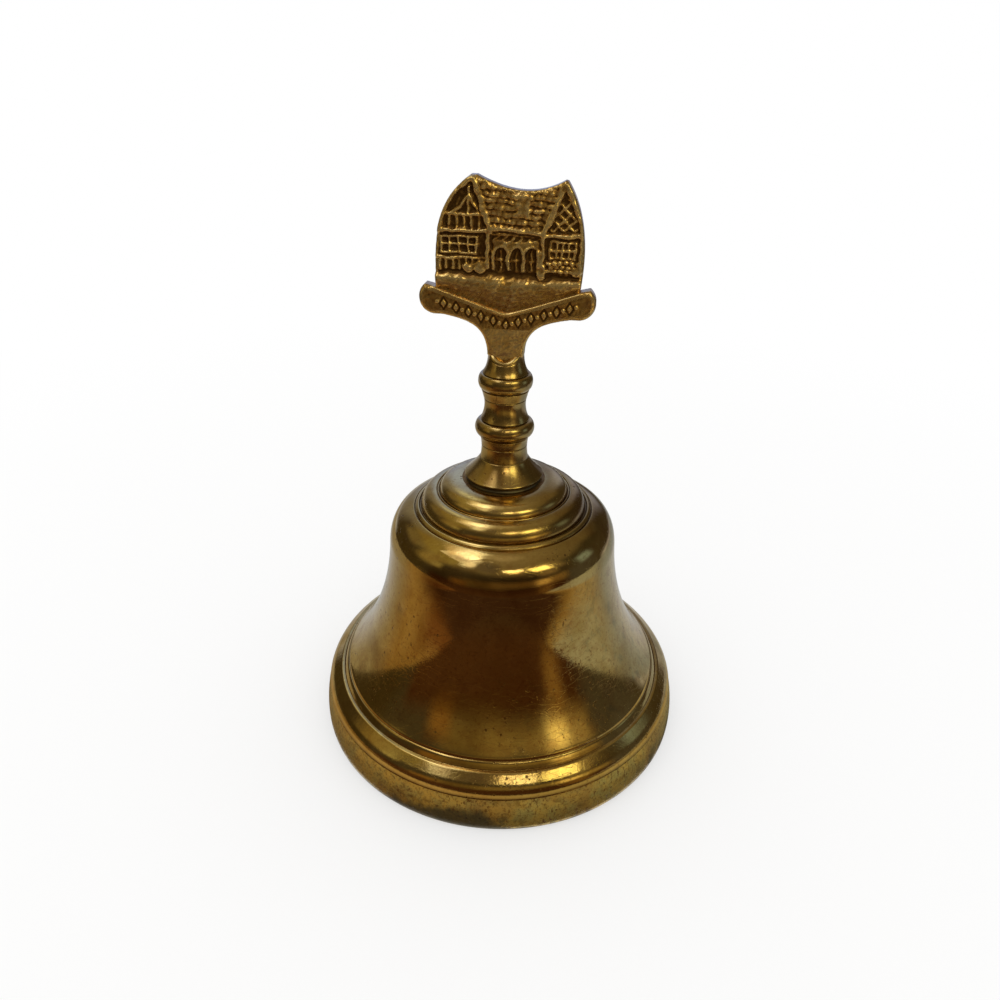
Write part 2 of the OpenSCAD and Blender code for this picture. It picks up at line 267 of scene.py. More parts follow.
# Colours of the marks on turned and cast brass, which stay as they are when the shades are changed
PATCH_BROWN = (0.44, 0.25, 0.09)
FRECKLE_BROWN = (0.33, 0.14, 0.035)
SMUDGE_OLIVE = (0.26, 0.22, 0.11)
FILM_EDGE_ROSE = (0.40, 0.12, 0.10)
TARNISH_AND_SHADE_BROWN = (0.19, 0.085, 0.026)
LIP_OLIVE = (0.42, 0.37, 0.17)
LIP_RUST = (0.30, 0.14, 0.05)
LIP_BLOT = (0.19, 0.12, 0.035)
STAIN_AND_SHADE_GREY = (0.075, 0.07, 0.06)
CAST_DARK = (0.46, 0.25, 0.065)
CAST_PALE = (0.58, 0.36, 0.11)
CAST_BLOTCH = (0.30, 0.13, 0.05)
# Height in metres at which the freckles and smudges of the waist end
WAIST_TOP = 0.040
# band_top, bright_low and bright_high of a piece that has no dull part
ALL_BRIGHT = (0.0, 0.0, 1.0)


def turned_brass(name, shades, dullness, band_top, bright_low, bright_high):
    """Brass turned on a lathe and handled for years.

    It is pitted and dull below band_top and bright between two heights, all in metres.
    """
    finish = Finish(name)
    place = finish.place()
    x, y, z = finish.split(place)
    radius = (x * x + y * y) ** 0.5
    across = finish.joined(x / radius, y / radius, z * 25.0)
    cavity = finish.attribute("cavity")
    spread = finish.attribute("stain_and_shade")
    tarnish_and_shade = finish.attribute("tarnish_and_shade")

    def streaks(around, along, detail, roughness=0.55):
        """Noise whose spots are drawn out along the axis or round it."""
        return finish.noise(finish.stretched(place, (around, around, along)), 1.0, detail, roughness)

    # Patterns, from the largest to the finest
    clouds = finish.noise(place, 75.0, 5.0, 0.62, 0.8)
    patches = finish.noise(place, 330.0, 5.0, 0.68)
    grain = finish.noise(place, 2300.0, 3.0, 0.6)
    smears = finish.noise(across, 9.0, 4.0, 0.6, 0.6)
    rings = streaks(70.0, 5200.0, 2.0)
    hair = finish.hairlines(finish.stretched(place, (260.0, 260.0, 900.0)), 0.012)
    web = finish.hairlines(finish.stretched(place, (150.0, 420.0, 90.0)), 0.007)
    dusty = finish.noise(place, 90.0).rise(0.48, 0.62)
    specks = finish.cells(place, 640.0).rise(0.20, 0.08) * dusty
    crumbs = streaks(1900.0, 900.0, 3.0, 0.65).rise(0.57, 0.66)
    scuffs = streaks(1500.0, 600.0, 3.0, 0.65).rise(0.62, 0.70)

    # Places on the bell
    grooves = (cavity * -1.0).rise(0.15, 0.9)
    edges = cavity.rise(0.15, 0.9)
    band = z.rise(band_top + 0.0004, band_top - 0.0002)
    moulding = (1 - band) * z.rise(bright_low - 0.0010, bright_low - 0.0016)
    satin = z.rise(bright_high, bright_high + 0.0006)
    dusty_foot = z.rise(bright_low + 0.009, bright_low) * z.rise(bright_low - 0.001, bright_low)
    dusty_foot = dusty_foot * clouds.rise(0.35, 0.6)
    right_side = x.rise(0.004, 0.014)
    waist = z.rise(bright_low, bright_low + 0.002) * z.rise(WAIST_TOP, WAIST_TOP - 0.003)

    # Marks, each a pattern kept to its place
    # Stains and dirt from the stored marks and random patches; the marks also carry painted shade along
    # the rim's bottom edge and round the foot of the stem
    stain_and_shade = (spread + (patches - 0.5) * 1.5 + (clouds - 0.5) * 0.7).rise(0.20, 0.95)
    speckled = crumbs * (patches + spread * 0.15).rise(0.42, 0.56) * band
    specks = (specks + scuffs * (dusty + right_side * 0.6) * 0.8).rise(0.0, 1.0)
    freckles = finish.noise(place, 1500.0, 4.0, 0.7).rise(0.54, 0.66) * waist
    smudges = streaks(420.0, 300.0, 5.0, 0.66).rise(0.50, 0.68) * waist * (right_side * 0.8 + 0.2)
    blots = finish.noise(place, 620.0, 4.0, 0.66).rise(0.50, 0.66) * band
    film = (finish.attribute("heat") + (clouds - 0.5) * 1.3).rise(0.15, 0.80)
    rim_of_film = film.rise(0.05, 0.35) * film.rise(0.90, 0.55)

    dull = finish.blend(patches.rise(0.38, 0.62), shades.bloom, LIP_OLIVE)
    dull = finish.blend(clouds.rise(0.50, 0.66) * 0.5, dull, LIP_RUST)
    dull = finish.blend(blots * 0.6, dull, LIP_BLOT)
    base = finish.blend(clouds.rise(0.38, 0.62) * 0.85, shades.polished, shades.aged)
    layers = [
        (patches.rise(0.46, 0.66) * 0.45, PATCH_BROWN),
        (freckles * 0.5, FRECKLE_BROWN),
        (smudges * 0.45, SMUDGE_OLIVE),
        (film * 0.8, shades.heated),
        (rim_of_film * 0.55, FILM_EDGE_ROSE),
        # Tarnish, with painted shade on the bell where the marks stand in for dark reflections
        ((tarnish_and_shade * (clouds + 0.5)).rise(0.0, 1.0) * 0.85, TARNISH_AND_SHADE_BROWN),
        (band * 0.9, dull),
        (grain.rise(0.50, 0.68) * (band * 0.5 + 0.10), shades.hollow),
        (edges * 0.45, shades.polished),
        ((speckled + specks) * 0.8 * (1 - edges * 0.6), shades.hollow),
        # Stains, and painted shade along the rim's bottom edge and round the stem's foot
        (stain_and_shade * 0.85, STAIN_AND_SHADE_GREY),
        (grooves * 0.6, shades.dirt),
    ]
    for share, tint in layers:
        base = finish.blend(share, base, tint)

    rough = dullness + smears.rise(0.42, 0.75) * 0.04 + patches.rise(0.45, 0.75) * 0.035 + film * 0.03
    rough = rough + dusty_foot * 0.09 + satin * 0.10 + band * 0.14 + moulding * 0.05
    rough = rough + grooves * 0.2 + stain_and_shade * 0.2 + (hair + web) * 0.06 + specks * 0.2 + tarnish_and_shade * 0.03

    height = rings * 0.12 + grain * 0.16 + patches * 0.3 - (hair + web) * 0.12
    height = height - specks * 0.7 - speckled * 1.5 + grain * band * 1.1 + patches * moulding * 1.5
    normal = finish.bump(height, 0.35, 0.00006)
    return finish.metal(base, rough, normal)


def cast_brass(name, shades):
    """Brass as cast, dark in its hollows and rubbed bright where fingers reach, with a painted
    highlight on the relief's high parts.
    """
    finish = Finish(name)
    place = finish.place()
    cavity = finish.attribute("cavity")
    clouds = finish.noise(place, 130.0, 4.0, 0.6, 0.5)
    grain = finish.noise(place, 1500.0, 4.0, 0.65)
    blotches = finish.noise(place, 480.0, 4.0, 0.6)

    raised = (cavity + (blotches - 0.5) * 0.9).rise(0.0, 0.75)
    sunk = (cavity * -1.0 + (grain - 0.5) * 0.4).rise(0.0, 0.6)
    base = finish.blend(clouds.rise(0.35, 0.65), CAST_DARK, CAST_PALE)
    base = finish.blend(blotches.rise(0.46, 0.66) * 0.5, base, CAST_BLOTCH)
    base = finish.blend(raised * 0.9, base, shades.rubbed)
    base = finish.blend(sunk * 0.85, base, shades.hollow)
    base = finish.blend(sunk.rise(0.75, 1.0) * 0.5, base, shades.dirt)

    rough = 0.24 - raised * 0.10 + sunk * 0.25 + blotches.rise(0.45, 0.75) * 0.06
    normal = finish.bump(grain * 0.35 + blotches * 1.2, 0.6, 0.00012)
    return finish.metal(base, rough, normal, 0.95 + sunk * 0.04 - raised * 0.06)


def sand_cast_brass(name, shades):
    """The rough dark inside of the bell."""
    finish = Finish(name)
    place = finish.place()
    clouds = finish.noise(place, 70.0, 5.0, 0.6, 0.5)
    sand = finish.noise(place, 1600.0, 4.0, 0.7)
    lumps = finish.noise(place, 380.0, 3.0)
    base = finish.blend(clouds.rise(0.35, 0.7), shades.aged, shades.hollow)
    base = finish.blend(sand.rise(0.5, 0.72) * 0.5, base, shades.dirt)
    normal = finish.bump(sand + lumps * 1.5, 0.7, 0.00016)
    return finish.metal(base, 0.42 + clouds * 0.2, normal)


def plated_steel(name, tint, dirt, dullness):
    """Dull steel, drawn or plated, with brown specks."""
    finish = Finish(name)
    place = finish.place()
    clouds = finish.noise(place, 260.0, 4.0, 0.6)
    lines = finish.noise(finish.stretched(place, (2200.0, 2200.0, 260.0)), 1.0, 3.0)
    specks = finish.noise(place, 900.0, 3.0, 0.6).rise(0.60, 0.72)
    darker = tuple(0.6 * part for part in tint)
    base = finish.blend(clouds.rise(0.3, 0.75), tint, darker)
    base = finish.blend(specks * 0.7, base, dirt)
    rough = dullness + clouds * 0.15 + specks * 0.25
    normal = finish.bump(lines + clouds, 0.4, 0.00004)
    return finish.metal(base, rough, normal)


def cubic(start, pull_start, pull_end, end, steps):
    """Points of a cubic curve."""
    a, b, c, d = (np.array(point, float) for point in (start, pull_start, pull_end, end))
    t = np.linspace(0, 1, steps + 1)[:, None]
    s = 1 - t
    return s**3 * a + 3 * s * s * t * b + 3 * s * t * t * c + t**3 * d


def bulge(root, width, low, high, steps):
    """Points of a half round that stands out by width between two heights."""
    a = np.linspace(0, math.pi, steps + 1)
    return np.stack([root + width * np.sin(a), (low + high) / 2 - (high - low) / 2 * np.cos(a)], 1)


def bulge_up(inner, outer, base, rise, steps):
    """Points of a fine raised line that stands upwards, from its outer to its inner side."""
    a = np.linspace(0, math.pi, steps + 1)
    return np.stack([(inner + outer) / 2 + (outer - inner) / 2 * np.cos(a), base + rise * np.sin(a)], 1)


def joined_path(parts):
    """One path of all the points in these parts."""
    return np.concatenate([np.array(part, float) for part in parts])


def softened(path, radius, steps=4, sharpest=14.0):
    """A path with each corner sharper than an angle in degrees rounded by a small arc-like curve."""
    rounded = [path[0]]
    for before, corner, after in zip(path[:-2], path[1:-1], path[2:]):
        back, ahead = before - corner, after - corner
        len_back, len_ahead = np.linalg.norm(back), np.linalg.norm(ahead)
        turn = math.degrees(math.acos(np.clip(-(back @ ahead) / (len_back * len_ahead), -1, 1)))
        if turn < sharpest:
            rounded.append(corner)
            continue
        reach = min(radius, 0.45 * len_back, 0.45 * len_ahead)
        start, end = corner + back / len_back * reach, corner + ahead / len_ahead * reach
        rounded.extend(cubic(start, (start + 2 * corner) / 3, (end + 2 * corner) / 3, end, steps))
    rounded.append(path[-1])
    return np.array(rounded)


def refined(path, longest):
    """A path with points added so that no step is longer than that."""
    points = [path[0]]
    for a, b in zip(path[:-1], path[1:]):
        count = max(1, math.ceil(np.linalg.norm(b - a) / longest))
        points.extend(a + (b - a) * i / count for i in range(1, count + 1))
    return np.array(points)


def profile_cavity(path, reach, closed):
    """How far each point of a profile stands out of its surroundings, about -1 to 1."""
    ends = (path[-1:], path[:1]) if closed else (path[:1], path[-1:])
    steps = np.linalg.norm(np.diff(path, axis=0), axis=1)
    along = np.concatenate([[0], np.cumsum(steps)])
    weights = np.exp(-0.5 * ((along[:, None] - along[None]) / reach) ** 2)
    local = np.concatenate([[steps[0]], (steps[:-1] + steps[1:]) / 2, [steps[-1]]])
    weights = weights * local[None]
    mean = weights @ path / weights.sum(1, keepdims=True)
    full = np.concatenate([ends[0], path, ends[1]])
    tangent = full[2:] - full[:-2]
    tangent = tangent / np.maximum(np.linalg.norm(tangent, axis=1, keepdims=True), 1e-9)
    outward = np.stack([tangent[:, 1], -tangent[:, 0]], 1)
    return np.clip(((path - mean) * outward).sum(1) / (0.28 * reach), -1, 1)


def waves(seed, count, shortest, longest):
    """A smooth random function of two numbers, about -1 to 1."""
    chance = np.random.RandomState(seed)
    size = np.exp(chance.uniform(math.log(shortest), math.log(longest), count))
    turn = chance.uniform(0, 2 * math.pi, count)
    phase = chance.uniform(0, 2 * math.pi, count)

    def field(u, v):
        """The height of all waves together at these places."""
        total = np.zeros(np.broadcast(u, v).shape)
        for reach, angle, shift in zip(size, turn, phase):
            total += np.sin(2 * math.pi * (u * math.cos(angle) + v * math.sin(angle)) / reach + shift)
        return total / math.sqrt(count / 2) / 2

    return field


def turned_mesh(profile, steps, closed, shift=None):
    """Points and faces of a profile in radius and height turned about the axis, in millimetres."""
    angles = np.linspace(0, 2 * math.pi, steps, endpoint=False)
    radius = np.repeat(profile[:, :1], steps, 1)
    height = np.repeat(profile[:, 1:], steps, 1)
    if shift is not None:
        wider, higher = shift(angles[None], radius, height)
        radius, height = radius + wider, height + higher
    points = np.stack([radius * np.cos(angles), radius * np.sin(angles), height], -1).reshape(-1, 3)
    rows = len(profile)
    lower = np.arange(rows if closed else rows - 1)
    upper = (lower + 1) % rows
    here = np.arange(steps)
    there = (here + 1) % steps
    faces = np.stack(
        [
            lower[:, None] * steps + here, lower[:, None] * steps + there,
            upper[:, None] * steps + there, upper[:, None] * steps + here,
        ],
        -1,
    )
    return points, faces.reshape(-1, 4)


def ring_faces(rows, sides, closed, start=0):
    """Faces between rings of points, the first of which has number start.

    If closed, the last ring meets the first.
    """
    faces = []
    for i in range(rows if closed else rows - 1):
        a, b = start + i * sides, start + (i + 1) % rows * sides
        faces.extend([a + j, a + (j + 1) % sides, b + (j + 1) % sides, b + j] for j in range(sides))
    return faces


def swept_mesh(path, radius, sides, closed):
    """Points and faces of a round wire along a path, in millimetres. An open wire gets domed ends."""
    if closed:
        tangent = np.roll(path, -1, 0) - np.roll(path, 1, 0)
    else:
        tangent = np.gradient(path, axis=0)
    tangent = tangent / np.linalg.norm(tangent, axis=1, keepdims=True)
    side = np.cross(tangent[0], (0.0, 1.0, 0.0) if abs(tangent[0][1]) < 0.9 else (1.0, 0.0, 0.0))
    frames = []
    for direction in tangent:
        side = side - direction * (side @ direction)
        side = side / np.linalg.norm(side)
        frames.append((side, np.cross(direction, side)))

    def dome(place, outward, pair):
        """Rings that shrink towards the end of the wire."""
        flatness = 0.5
        return [
            (place + outward * radius * flatness * s, math.sqrt(1 - s * s) * radius, pair)
            for s in np.linspace(0.15, 0.95, 4)
        ]

    rings = [(centre, radius, pair) for centre, pair in zip(path, frames)]
    if not closed:
        head = dome(path[0], -tangent[0], frames[0])
        rings = head[::-1] + rings + dome(path[-1], tangent[-1], frames[-1])
    turn = np.linspace(0, 2 * math.pi, sides, endpoint=False)
    points = np.concatenate(
        [
            centre + size * (np.outer(np.cos(turn), pair[0]) + np.outer(np.sin(turn), pair[1]))
            for centre, size, pair in rings
        ]
    )
    rows = len(rings)
    faces = ring_faces(rows, sides, closed)
    if not closed:
        faces.append(list(range(sides))[::-1])
        faces.append(list(range((rows - 1) * sides, rows * sides)))
    return points, faces


def inside_distance(outline, x, z):
    """Distance to a closed outline, positive inside it, and the nearest place on it."""
    nearest = np.full(x.shape, np.inf)
    near_x, near_z = np.zeros(x.shape), np.zeros(x.shape)
    inside = np.zeros(x.shape, bool)
    for a, b in zip(outline, np.roll(outline, -1, 0)):
        d = b - a
        t = np.clip(((x - a[0]) * d[0] + (z - a[1]) * d[1]) / (d @ d), 0, 1)
        px, pz = a[0] + t * d[0], a[1] + t * d[1]
        gap = (x - px) ** 2 + (z - pz) ** 2
        closer = gap < nearest
        nearest = np.where(closer, gap, nearest)
        near_x, near_z = np.where(closer, px, near_x), np.where(closer, pz, near_z)
        if a[1] != b[1]:
            crosses = (a[1] > z) != (b[1] > z)
            inside ^= crosses & (x < a[0] + (z - a[1]) * d[0] / d[1])
    return np.where(inside, 1, -1) * np.sqrt(nearest), near_x, near_z


def blurred(values, reach):
    """A grid of values smoothed over reach points."""
    width = int(3 * reach)
    weights = np.exp(-0.5 * (np.arange(-width, width + 1) / reach) ** 2)
    weights = weights / weights.sum()
    for axis in (0, 1):
        padding = [(width, width) if axis == i else (0, 0) for i in (0, 1)]
        padded = np.pad(values, padding, mode="edge")
        values = sum(
            weight * np.take(padded, np.arange(values.shape[axis]) + i, axis)
            for i, weight in enumerate(weights)
        )
    return values


# How far round a point of the relief its surroundings reach and how far it stands out of them when it
# is rubbed fully bright, in millimetres, then how bright the plate's rounded edge and side are at least
SURROUNDINGS, FULL_RELIEF = 0.40, 0.17
EDGE_RUB, SIDE_RUB = 0.35, 0.2


def plate_mesh(outline, spacing, edge_round, front, back):
    """An upright plate with that outline in X and Z.

    Its faces follow the front's height along -Y and the back's along Y. It also gives how far each
    point of the front stands out of its surroundings.
    """
    low, high = outline.min(0) - 2 * spacing, outline.max(0) + 2 * spacing
    xs = np.arange(low[0], high[0], spacing)
    zs = np.arange(low[1], high[1], spacing)
    x, z = np.meshgrid(xs, zs, indexing="ij")
    depth, near_x, near_z = inside_distance(outline, x, z)
    is_in = depth > 0
    cell = is_in[:-1, :-1] | is_in[1:, :-1] | is_in[:-1, 1:] | is_in[1:, 1:]
    used = np.zeros(x.shape, bool)
    for i in (0, 1):
        for j in (0, 1):
            used[i: i + cell.shape[0], j: j + cell.shape[1]] |= cell
    x = np.where(is_in, x, near_x)
    z = np.where(is_in, z, near_z)
    depth = np.maximum(depth, 0)
    near_edge = np.clip(edge_round - depth, 0, edge_round)
    drop = edge_round - np.sqrt(np.maximum(edge_round**2 - near_edge**2, 0))
    front_y = front(x, z)
    lowest, highest = np.percentile(front_y[used], (4, 97))
    # The front's height also shifts the value, so high parts take more of the rubbed colour and low
    # parts more of the hollow colour: partly wear and patina, partly a painted highlight on the tops,
    # as on the lawn
    level = 2 * (front_y - lowest) / (highest - lowest) - 1.15
    around = blurred(front_y, SURROUNDINGS / spacing)
    cavity = np.clip((front_y - around) / FULL_RELIEF + 0.30 * level, -1, 1)
    cavity = np.where(depth < edge_round, np.maximum(cavity, EDGE_RUB), cavity)
    back_y = back(x, z)

    number = np.cumsum(used.ravel()).reshape(used.shape) - 1
    total = int(used.sum())
    i, j = np.nonzero(cell)
    quads = np.stack([number[i, j], number[i + 1, j], number[i + 1, j + 1], number[i, j + 1]], 1)
    edges = {}
    for quad in quads.tolist():
        for a, b in zip(quad, quad[1:] + quad[:1]):
            if (b, a) in edges:
                del edges[(b, a)]
            else:
                edges[(a, b)] = True
    front_points = np.stack([x[used], -(front_y - drop)[used], z[used]], 1)
    back_points = np.stack([x[used], (back_y - drop)[used], z[used]], 1)
    levels = 4
    border = sorted({a for a, b in edges})
    place = {a: k for k, a in enumerate(border)}
    rings = [
        front_points[border] + (back_points[border] - front_points[border]) * (k / levels)
        for k in range(1, levels)
    ]
    points = np.concatenate([front_points, back_points, *rings])

    def ring_point(level, vertex):
        """The number of a border point at one level between the front and the back."""
        if level == 0:
            return vertex
        if level == levels:
            return total + vertex
        return 2 * total + (level - 1) * len(border) + place[vertex]

    faces = quads.tolist() + [[total + a for a in quad[::-1]] for quad in quads.tolist()]
    for a, b in edges:
        for level in range(levels):
            quad = (level, b), (level, a), (level + 1, a), (level + 1, b)
            faces.append([ring_point(*corner) for corner in quad])
    side_values = np.full(len(rings) * len(border), SIDE_RUB)
    return points, faces, np.concatenate([cavity[used], np.zeros(total), side_values])


def add_piece(name, points, faces, materials, body, node, values=None, second_from=None):
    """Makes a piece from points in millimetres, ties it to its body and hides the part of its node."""
    mesh = bpy.data.meshes.new(name)
    mesh.from_pydata((np.asarray(points) * MM).tolist(), [], [list(map(int, face)) for face in faces])
    mesh.update()
    mesh.polygons.foreach_set("use_smooth", [True] * len(mesh.polygons))
    for key, numbers in (values or {}).items():
        layer = mesh.attributes.new(key, "FLOAT", "POINT")
        layer.data.foreach_set("value", np.asarray(numbers, np.float32))
    for material in materials:
        mesh.materials.append(material)
    if second_from is not None:
        numbers = np.zeros(len(mesh.polygons), np.int32)
        numbers[second_from:] = 1
        mesh.polygons.foreach_set("material_index", numbers)
    piece = bpy.data.objects.new(name, mesh)
    bpy.context.scene.collection.objects.link(piece)
    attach(piece, body)
    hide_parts(node)


# Marks on the bell: azimuth from the front in degrees, height in millimetres, reach round the bell in
# degrees, reach up and down in millimetres, and strength, which for a dent is its depth in millimetres
# Stains near the lip's bottom edge, and painted shade all round the bottom edge
DARK_STAINS_AND_RIM_SHADE = [
    (-4, 1.2, 9, 2.1, 1.4),
    (-18, 0.6, 6, 1.2, 0.6),
    (76, 1.4, 18, 2.2, 0.8),
    (-68, 0.4, 24, 1.2, 0.7),
    (150, 0.9, 25, 1.7, 0.8),
    # Painted shade all round the bottom edge, where the rim stands on the table
    (0, 0.0, 900, 0.45, 0.8),
]
# Tarnish, partly painted shade: these marks darken the colour where the polished brass should mirror
# dark surroundings, such as the band under the shoulder and the edges of the waist's pale reflections
TARNISH_AND_PAINTED_SHADE = [
    (8, 41.3, 24, 1.2, 0.9),
    (-27, 39.5, 6, 2.2, 0.8),
    (8, 35.5, 18, 4, 0.4),
    (-58, 18.5, 9, 1.8, 0.5),
    (60, 17, 10, 2.5, 0.3),
    (82, 47.3, 26, 1.6, 0.7),
    (90, 43.5, 22, 1.8, 0.5),
    (-160, 20, 30, 3, 0.5),
]
HEAT_MARKS = [
    (-17, 31, 5, 6.5, 0.9),
    (-23, 22, 7, 5, 0.6),
    (-27, 38, 5, 3, 0.4),
    (33, 21, 6, 9, 0.65),
    (5, 17, 12, 4, 0.3),
    (-46, 16.5, 9, 2.2, 0.6),
    (-30, 2.5, 5, 1.5, 0.5),
    (170, 24, 12, 9, 0.6),
]
DENTS = [
    (0, 43.9, 2.4, 0.55, 0.10),
    (20, 42.7, 1.2, 0.30, 0.05),
    (14, 12.9, 1.6, 0.5, 0.06),
    (45, 14.5, 1.8, 0.7, 0.05),
    (-48, 30.0, 2.0, 0.8, 0.05),
    (120, 26.0, 2.4, 1.0, 0.07),
    (-140, 40.0, 2.4, 0.8, 0.07),
]


# Heights where polishing has evened out dirt and wear: middle and reach in millimetres, and the share
# that is left
POLISHED_OUT = [(11.0, 1.1, 0.35), (7.0, 0.5, 0.40)]
# How much darker the colour gets in a dent, for each millimetre of its depth
DENT_DARKENING = 7.0


def marks(places, points):
    """How strong the marks are at each point."""
    azimuth = np.degrees(np.arctan2(points[:, 0], -points[:, 1]))
    total = np.zeros(len(points))
    for middle, height, wide, tall, strength in places:
        turned = (azimuth - middle + 180) % 360 - 180
        away = (turned / wide) ** 2 + ((points[:, 2] - height) / tall) ** 2
        total += strength * np.exp(-0.5 * away)
    return total


def bell_outside(sizes):
    """The bell's outside from the rim to the handle's seat. All offsets are in millimetres."""
    rim, seat = sizes.rim_radius / MM, sizes.seat_height / MM
    band, taper = sizes.band_height / MM, sizes.band_taper / MM
    waist_r, top_r = sizes.waist_radius / MM, sizes.shoulder_radius / MM
    width, height = sizes.round_width / MM, sizes.round_height / MM
    belly, quirk, ledge_w, bead_w, bead_h, bevel_h = 1.4, 0.2, 0.35, 1.15, 1.15, 0.4
    waist_h, shoulder_h, flat_ring_w, flat_ring_h, low_step_h = 27.0, 6.4, 1.4, 0.49, 2.9
    ledge_r, ledge_z = rim - taper - width, band + quirk + height
    bead_r, bevel_z = ledge_r - ledge_w, ledge_z + bead_h
    foot_r, foot_z = bead_r - bead_w, bevel_z + bevel_h
    flank_r, flank_z = ledge_r + 1.65, ledge_z - 1.06
    crest_r, crest_z = ledge_r + 0.35, ledge_z - 0.04
    waist_top = foot_z + waist_h
    shoulder_z = waist_top + shoulder_h
    ring_r, ring_z = top_r - flat_ring_w, shoulder_z + flat_ring_h
    step_r, step_z = 11.75, ring_z + low_step_h
    seat_r = sizes.foot_radius / MM + 0.5

    climb = np.linspace(0, 1, 14)[1:, None]
    lip = [
        cubic((rim - 0.45, 0), (rim - 0.18, 0), (rim - 0.02, 0.18), (rim, belly), 8),
        np.hstack([rim - taper * climb**2, belly + climb * (band - belly)]),
        [(rim - taper - 0.08, band + 0.10), (rim - taper - 0.13, band + quirk)],
    ]
    moulding = [
        cubic((rim - taper - 0.08, band + quirk + 0.05), (rim - taper, band + quirk + 0.3 * height),
              (flank_r + 0.52, flank_z - 0.41), (flank_r, flank_z), 12),
        cubic((flank_r, flank_z), (flank_r - 0.43, flank_z + 0.34),
              (crest_r + 0.44, crest_z - 0.35), (crest_r, crest_z), 8)[1:],
        cubic((crest_r, crest_z), (crest_r - 0.09, crest_z + 0.07),
              (ledge_r + 0.1, ledge_z + 0.04), (ledge_r - 0.15, ledge_z + 0.02), 6)[1:],
    ]
    bead = [
        [(bead_r + 0.04, ledge_z)],
        cubic((bead_r, ledge_z + 0.08), (bead_r - 0.28, ledge_z + 0.53),
              (foot_r + 0.50, bevel_z - 0.08), (foot_r + 0.3, bevel_z - 0.02), 14),
        [(foot_r + 0.2, bevel_z - 0.04), (foot_r + 0.13, bevel_z + 0.08), (foot_r, foot_z)],
    ]
    waist = [
        cubic((foot_r - 0.02, foot_z), (foot_r - 0.51 * (foot_r - waist_r), foot_z + 5.59),
              (waist_r + 0.065 * (foot_r - waist_r), waist_top - 11.69), (waist_r, waist_top), 90)[1:],
        cubic((waist_r, waist_top), (waist_r - 0.3, waist_top + 3.52),
              (top_r + 0.6 * (waist_r - top_r), shoulder_z - 0.96), (top_r, shoulder_z), 36)[1:],
    ]
    crown = [
        [(top_r - 0.06, shoulder_z - 0.24), (top_r - 0.2, shoulder_z - 0.26)],
        [(top_r - 0.28, shoulder_z + 0.14)],
        cubic((top_r - 0.3, shoulder_z + 0.18), (top_r - 0.5, shoulder_z + 0.36),
              (ring_r + 0.75, ring_z + 0.06), (ring_r + 0.5, ring_z), 6),
        [(ring_r + 0.42, ring_z - 0.3), (ring_r + 0.1, ring_z - 0.34), (ring_r, ring_z - 0.2)],
        cubic((ring_r, ring_z), (ring_r, ring_z + 1.74),
              (step_r + 0.62 * (ring_r - step_r), step_z - 0.06), (step_r + 0.62, step_z), 22),
        [(step_r + 0.56, step_z - 0.22), (step_r + 0.46, step_z - 0.24)],
        bulge_up(step_r + 0.14, step_r + 0.44, step_z - 0.22, 0.2, 6),
        [(step_r + 0.06, step_z - 0.28), (step_r, step_z - 0.2)],
        cubic((step_r, step_z), (step_r - 0.1, step_z + 0.6 * (seat - step_z)),
              (seat_r + 0.6 * (step_r - seat_r), seat - 0.05), (seat_r, seat), 20),
    ]
    return joined_path(lip + moulding + bead + waist + crown)


def bell_inside(sizes, outside):
    """The bell's inside from the bolt hole down to the rim, in millimetres."""
    wall, rim, seat = sizes.wall / MM, sizes.rim_radius / MM, sizes.seat_height / MM
    rim_thickness, rim_round = 2.9, 0.45
    hole_r, spot_face_r = 2.2, 5.2
    wall_foot, dome_foot, top_z = 12.3, 41.5, 45.0
    ceiling = WASHER_HIGH[2]
    heights = np.linspace(wall_foot, top_z, 40)
    order = np.argsort(outside[:, 1], kind="stable")
    radii = np.interp(heights, outside[order, 1], outside[order, 0])
    slope = np.gradient(radii, heights)
    wall_inside = np.stack([radii - wall * np.sqrt(1 + slope**2), heights], 1)
    wall_inside = wall_inside[wall_inside[:, 1] < dome_foot]
    first, last = wall_inside[0], wall_inside[-1]
    dome = cubic(last, last + (-0.35, 3.6), (12.2, ceiling - 1.2), (9.6, ceiling - 0.55), 14)[1:]
    rim_inside = rim - rim_thickness
    mouth = cubic(first, first + (1.1, -3.57), (rim_inside - 0.9, 4.2), (rim_inside, rim_round), 14)[1:]
    return joined_path([
        [(hole_r, seat), (hole_r, ceiling), (spot_face_r, ceiling)],
        dome[::-1],
        wall_inside[::-1],
        mouth,
        [(rim_inside + rim_round, 0)],
    ])


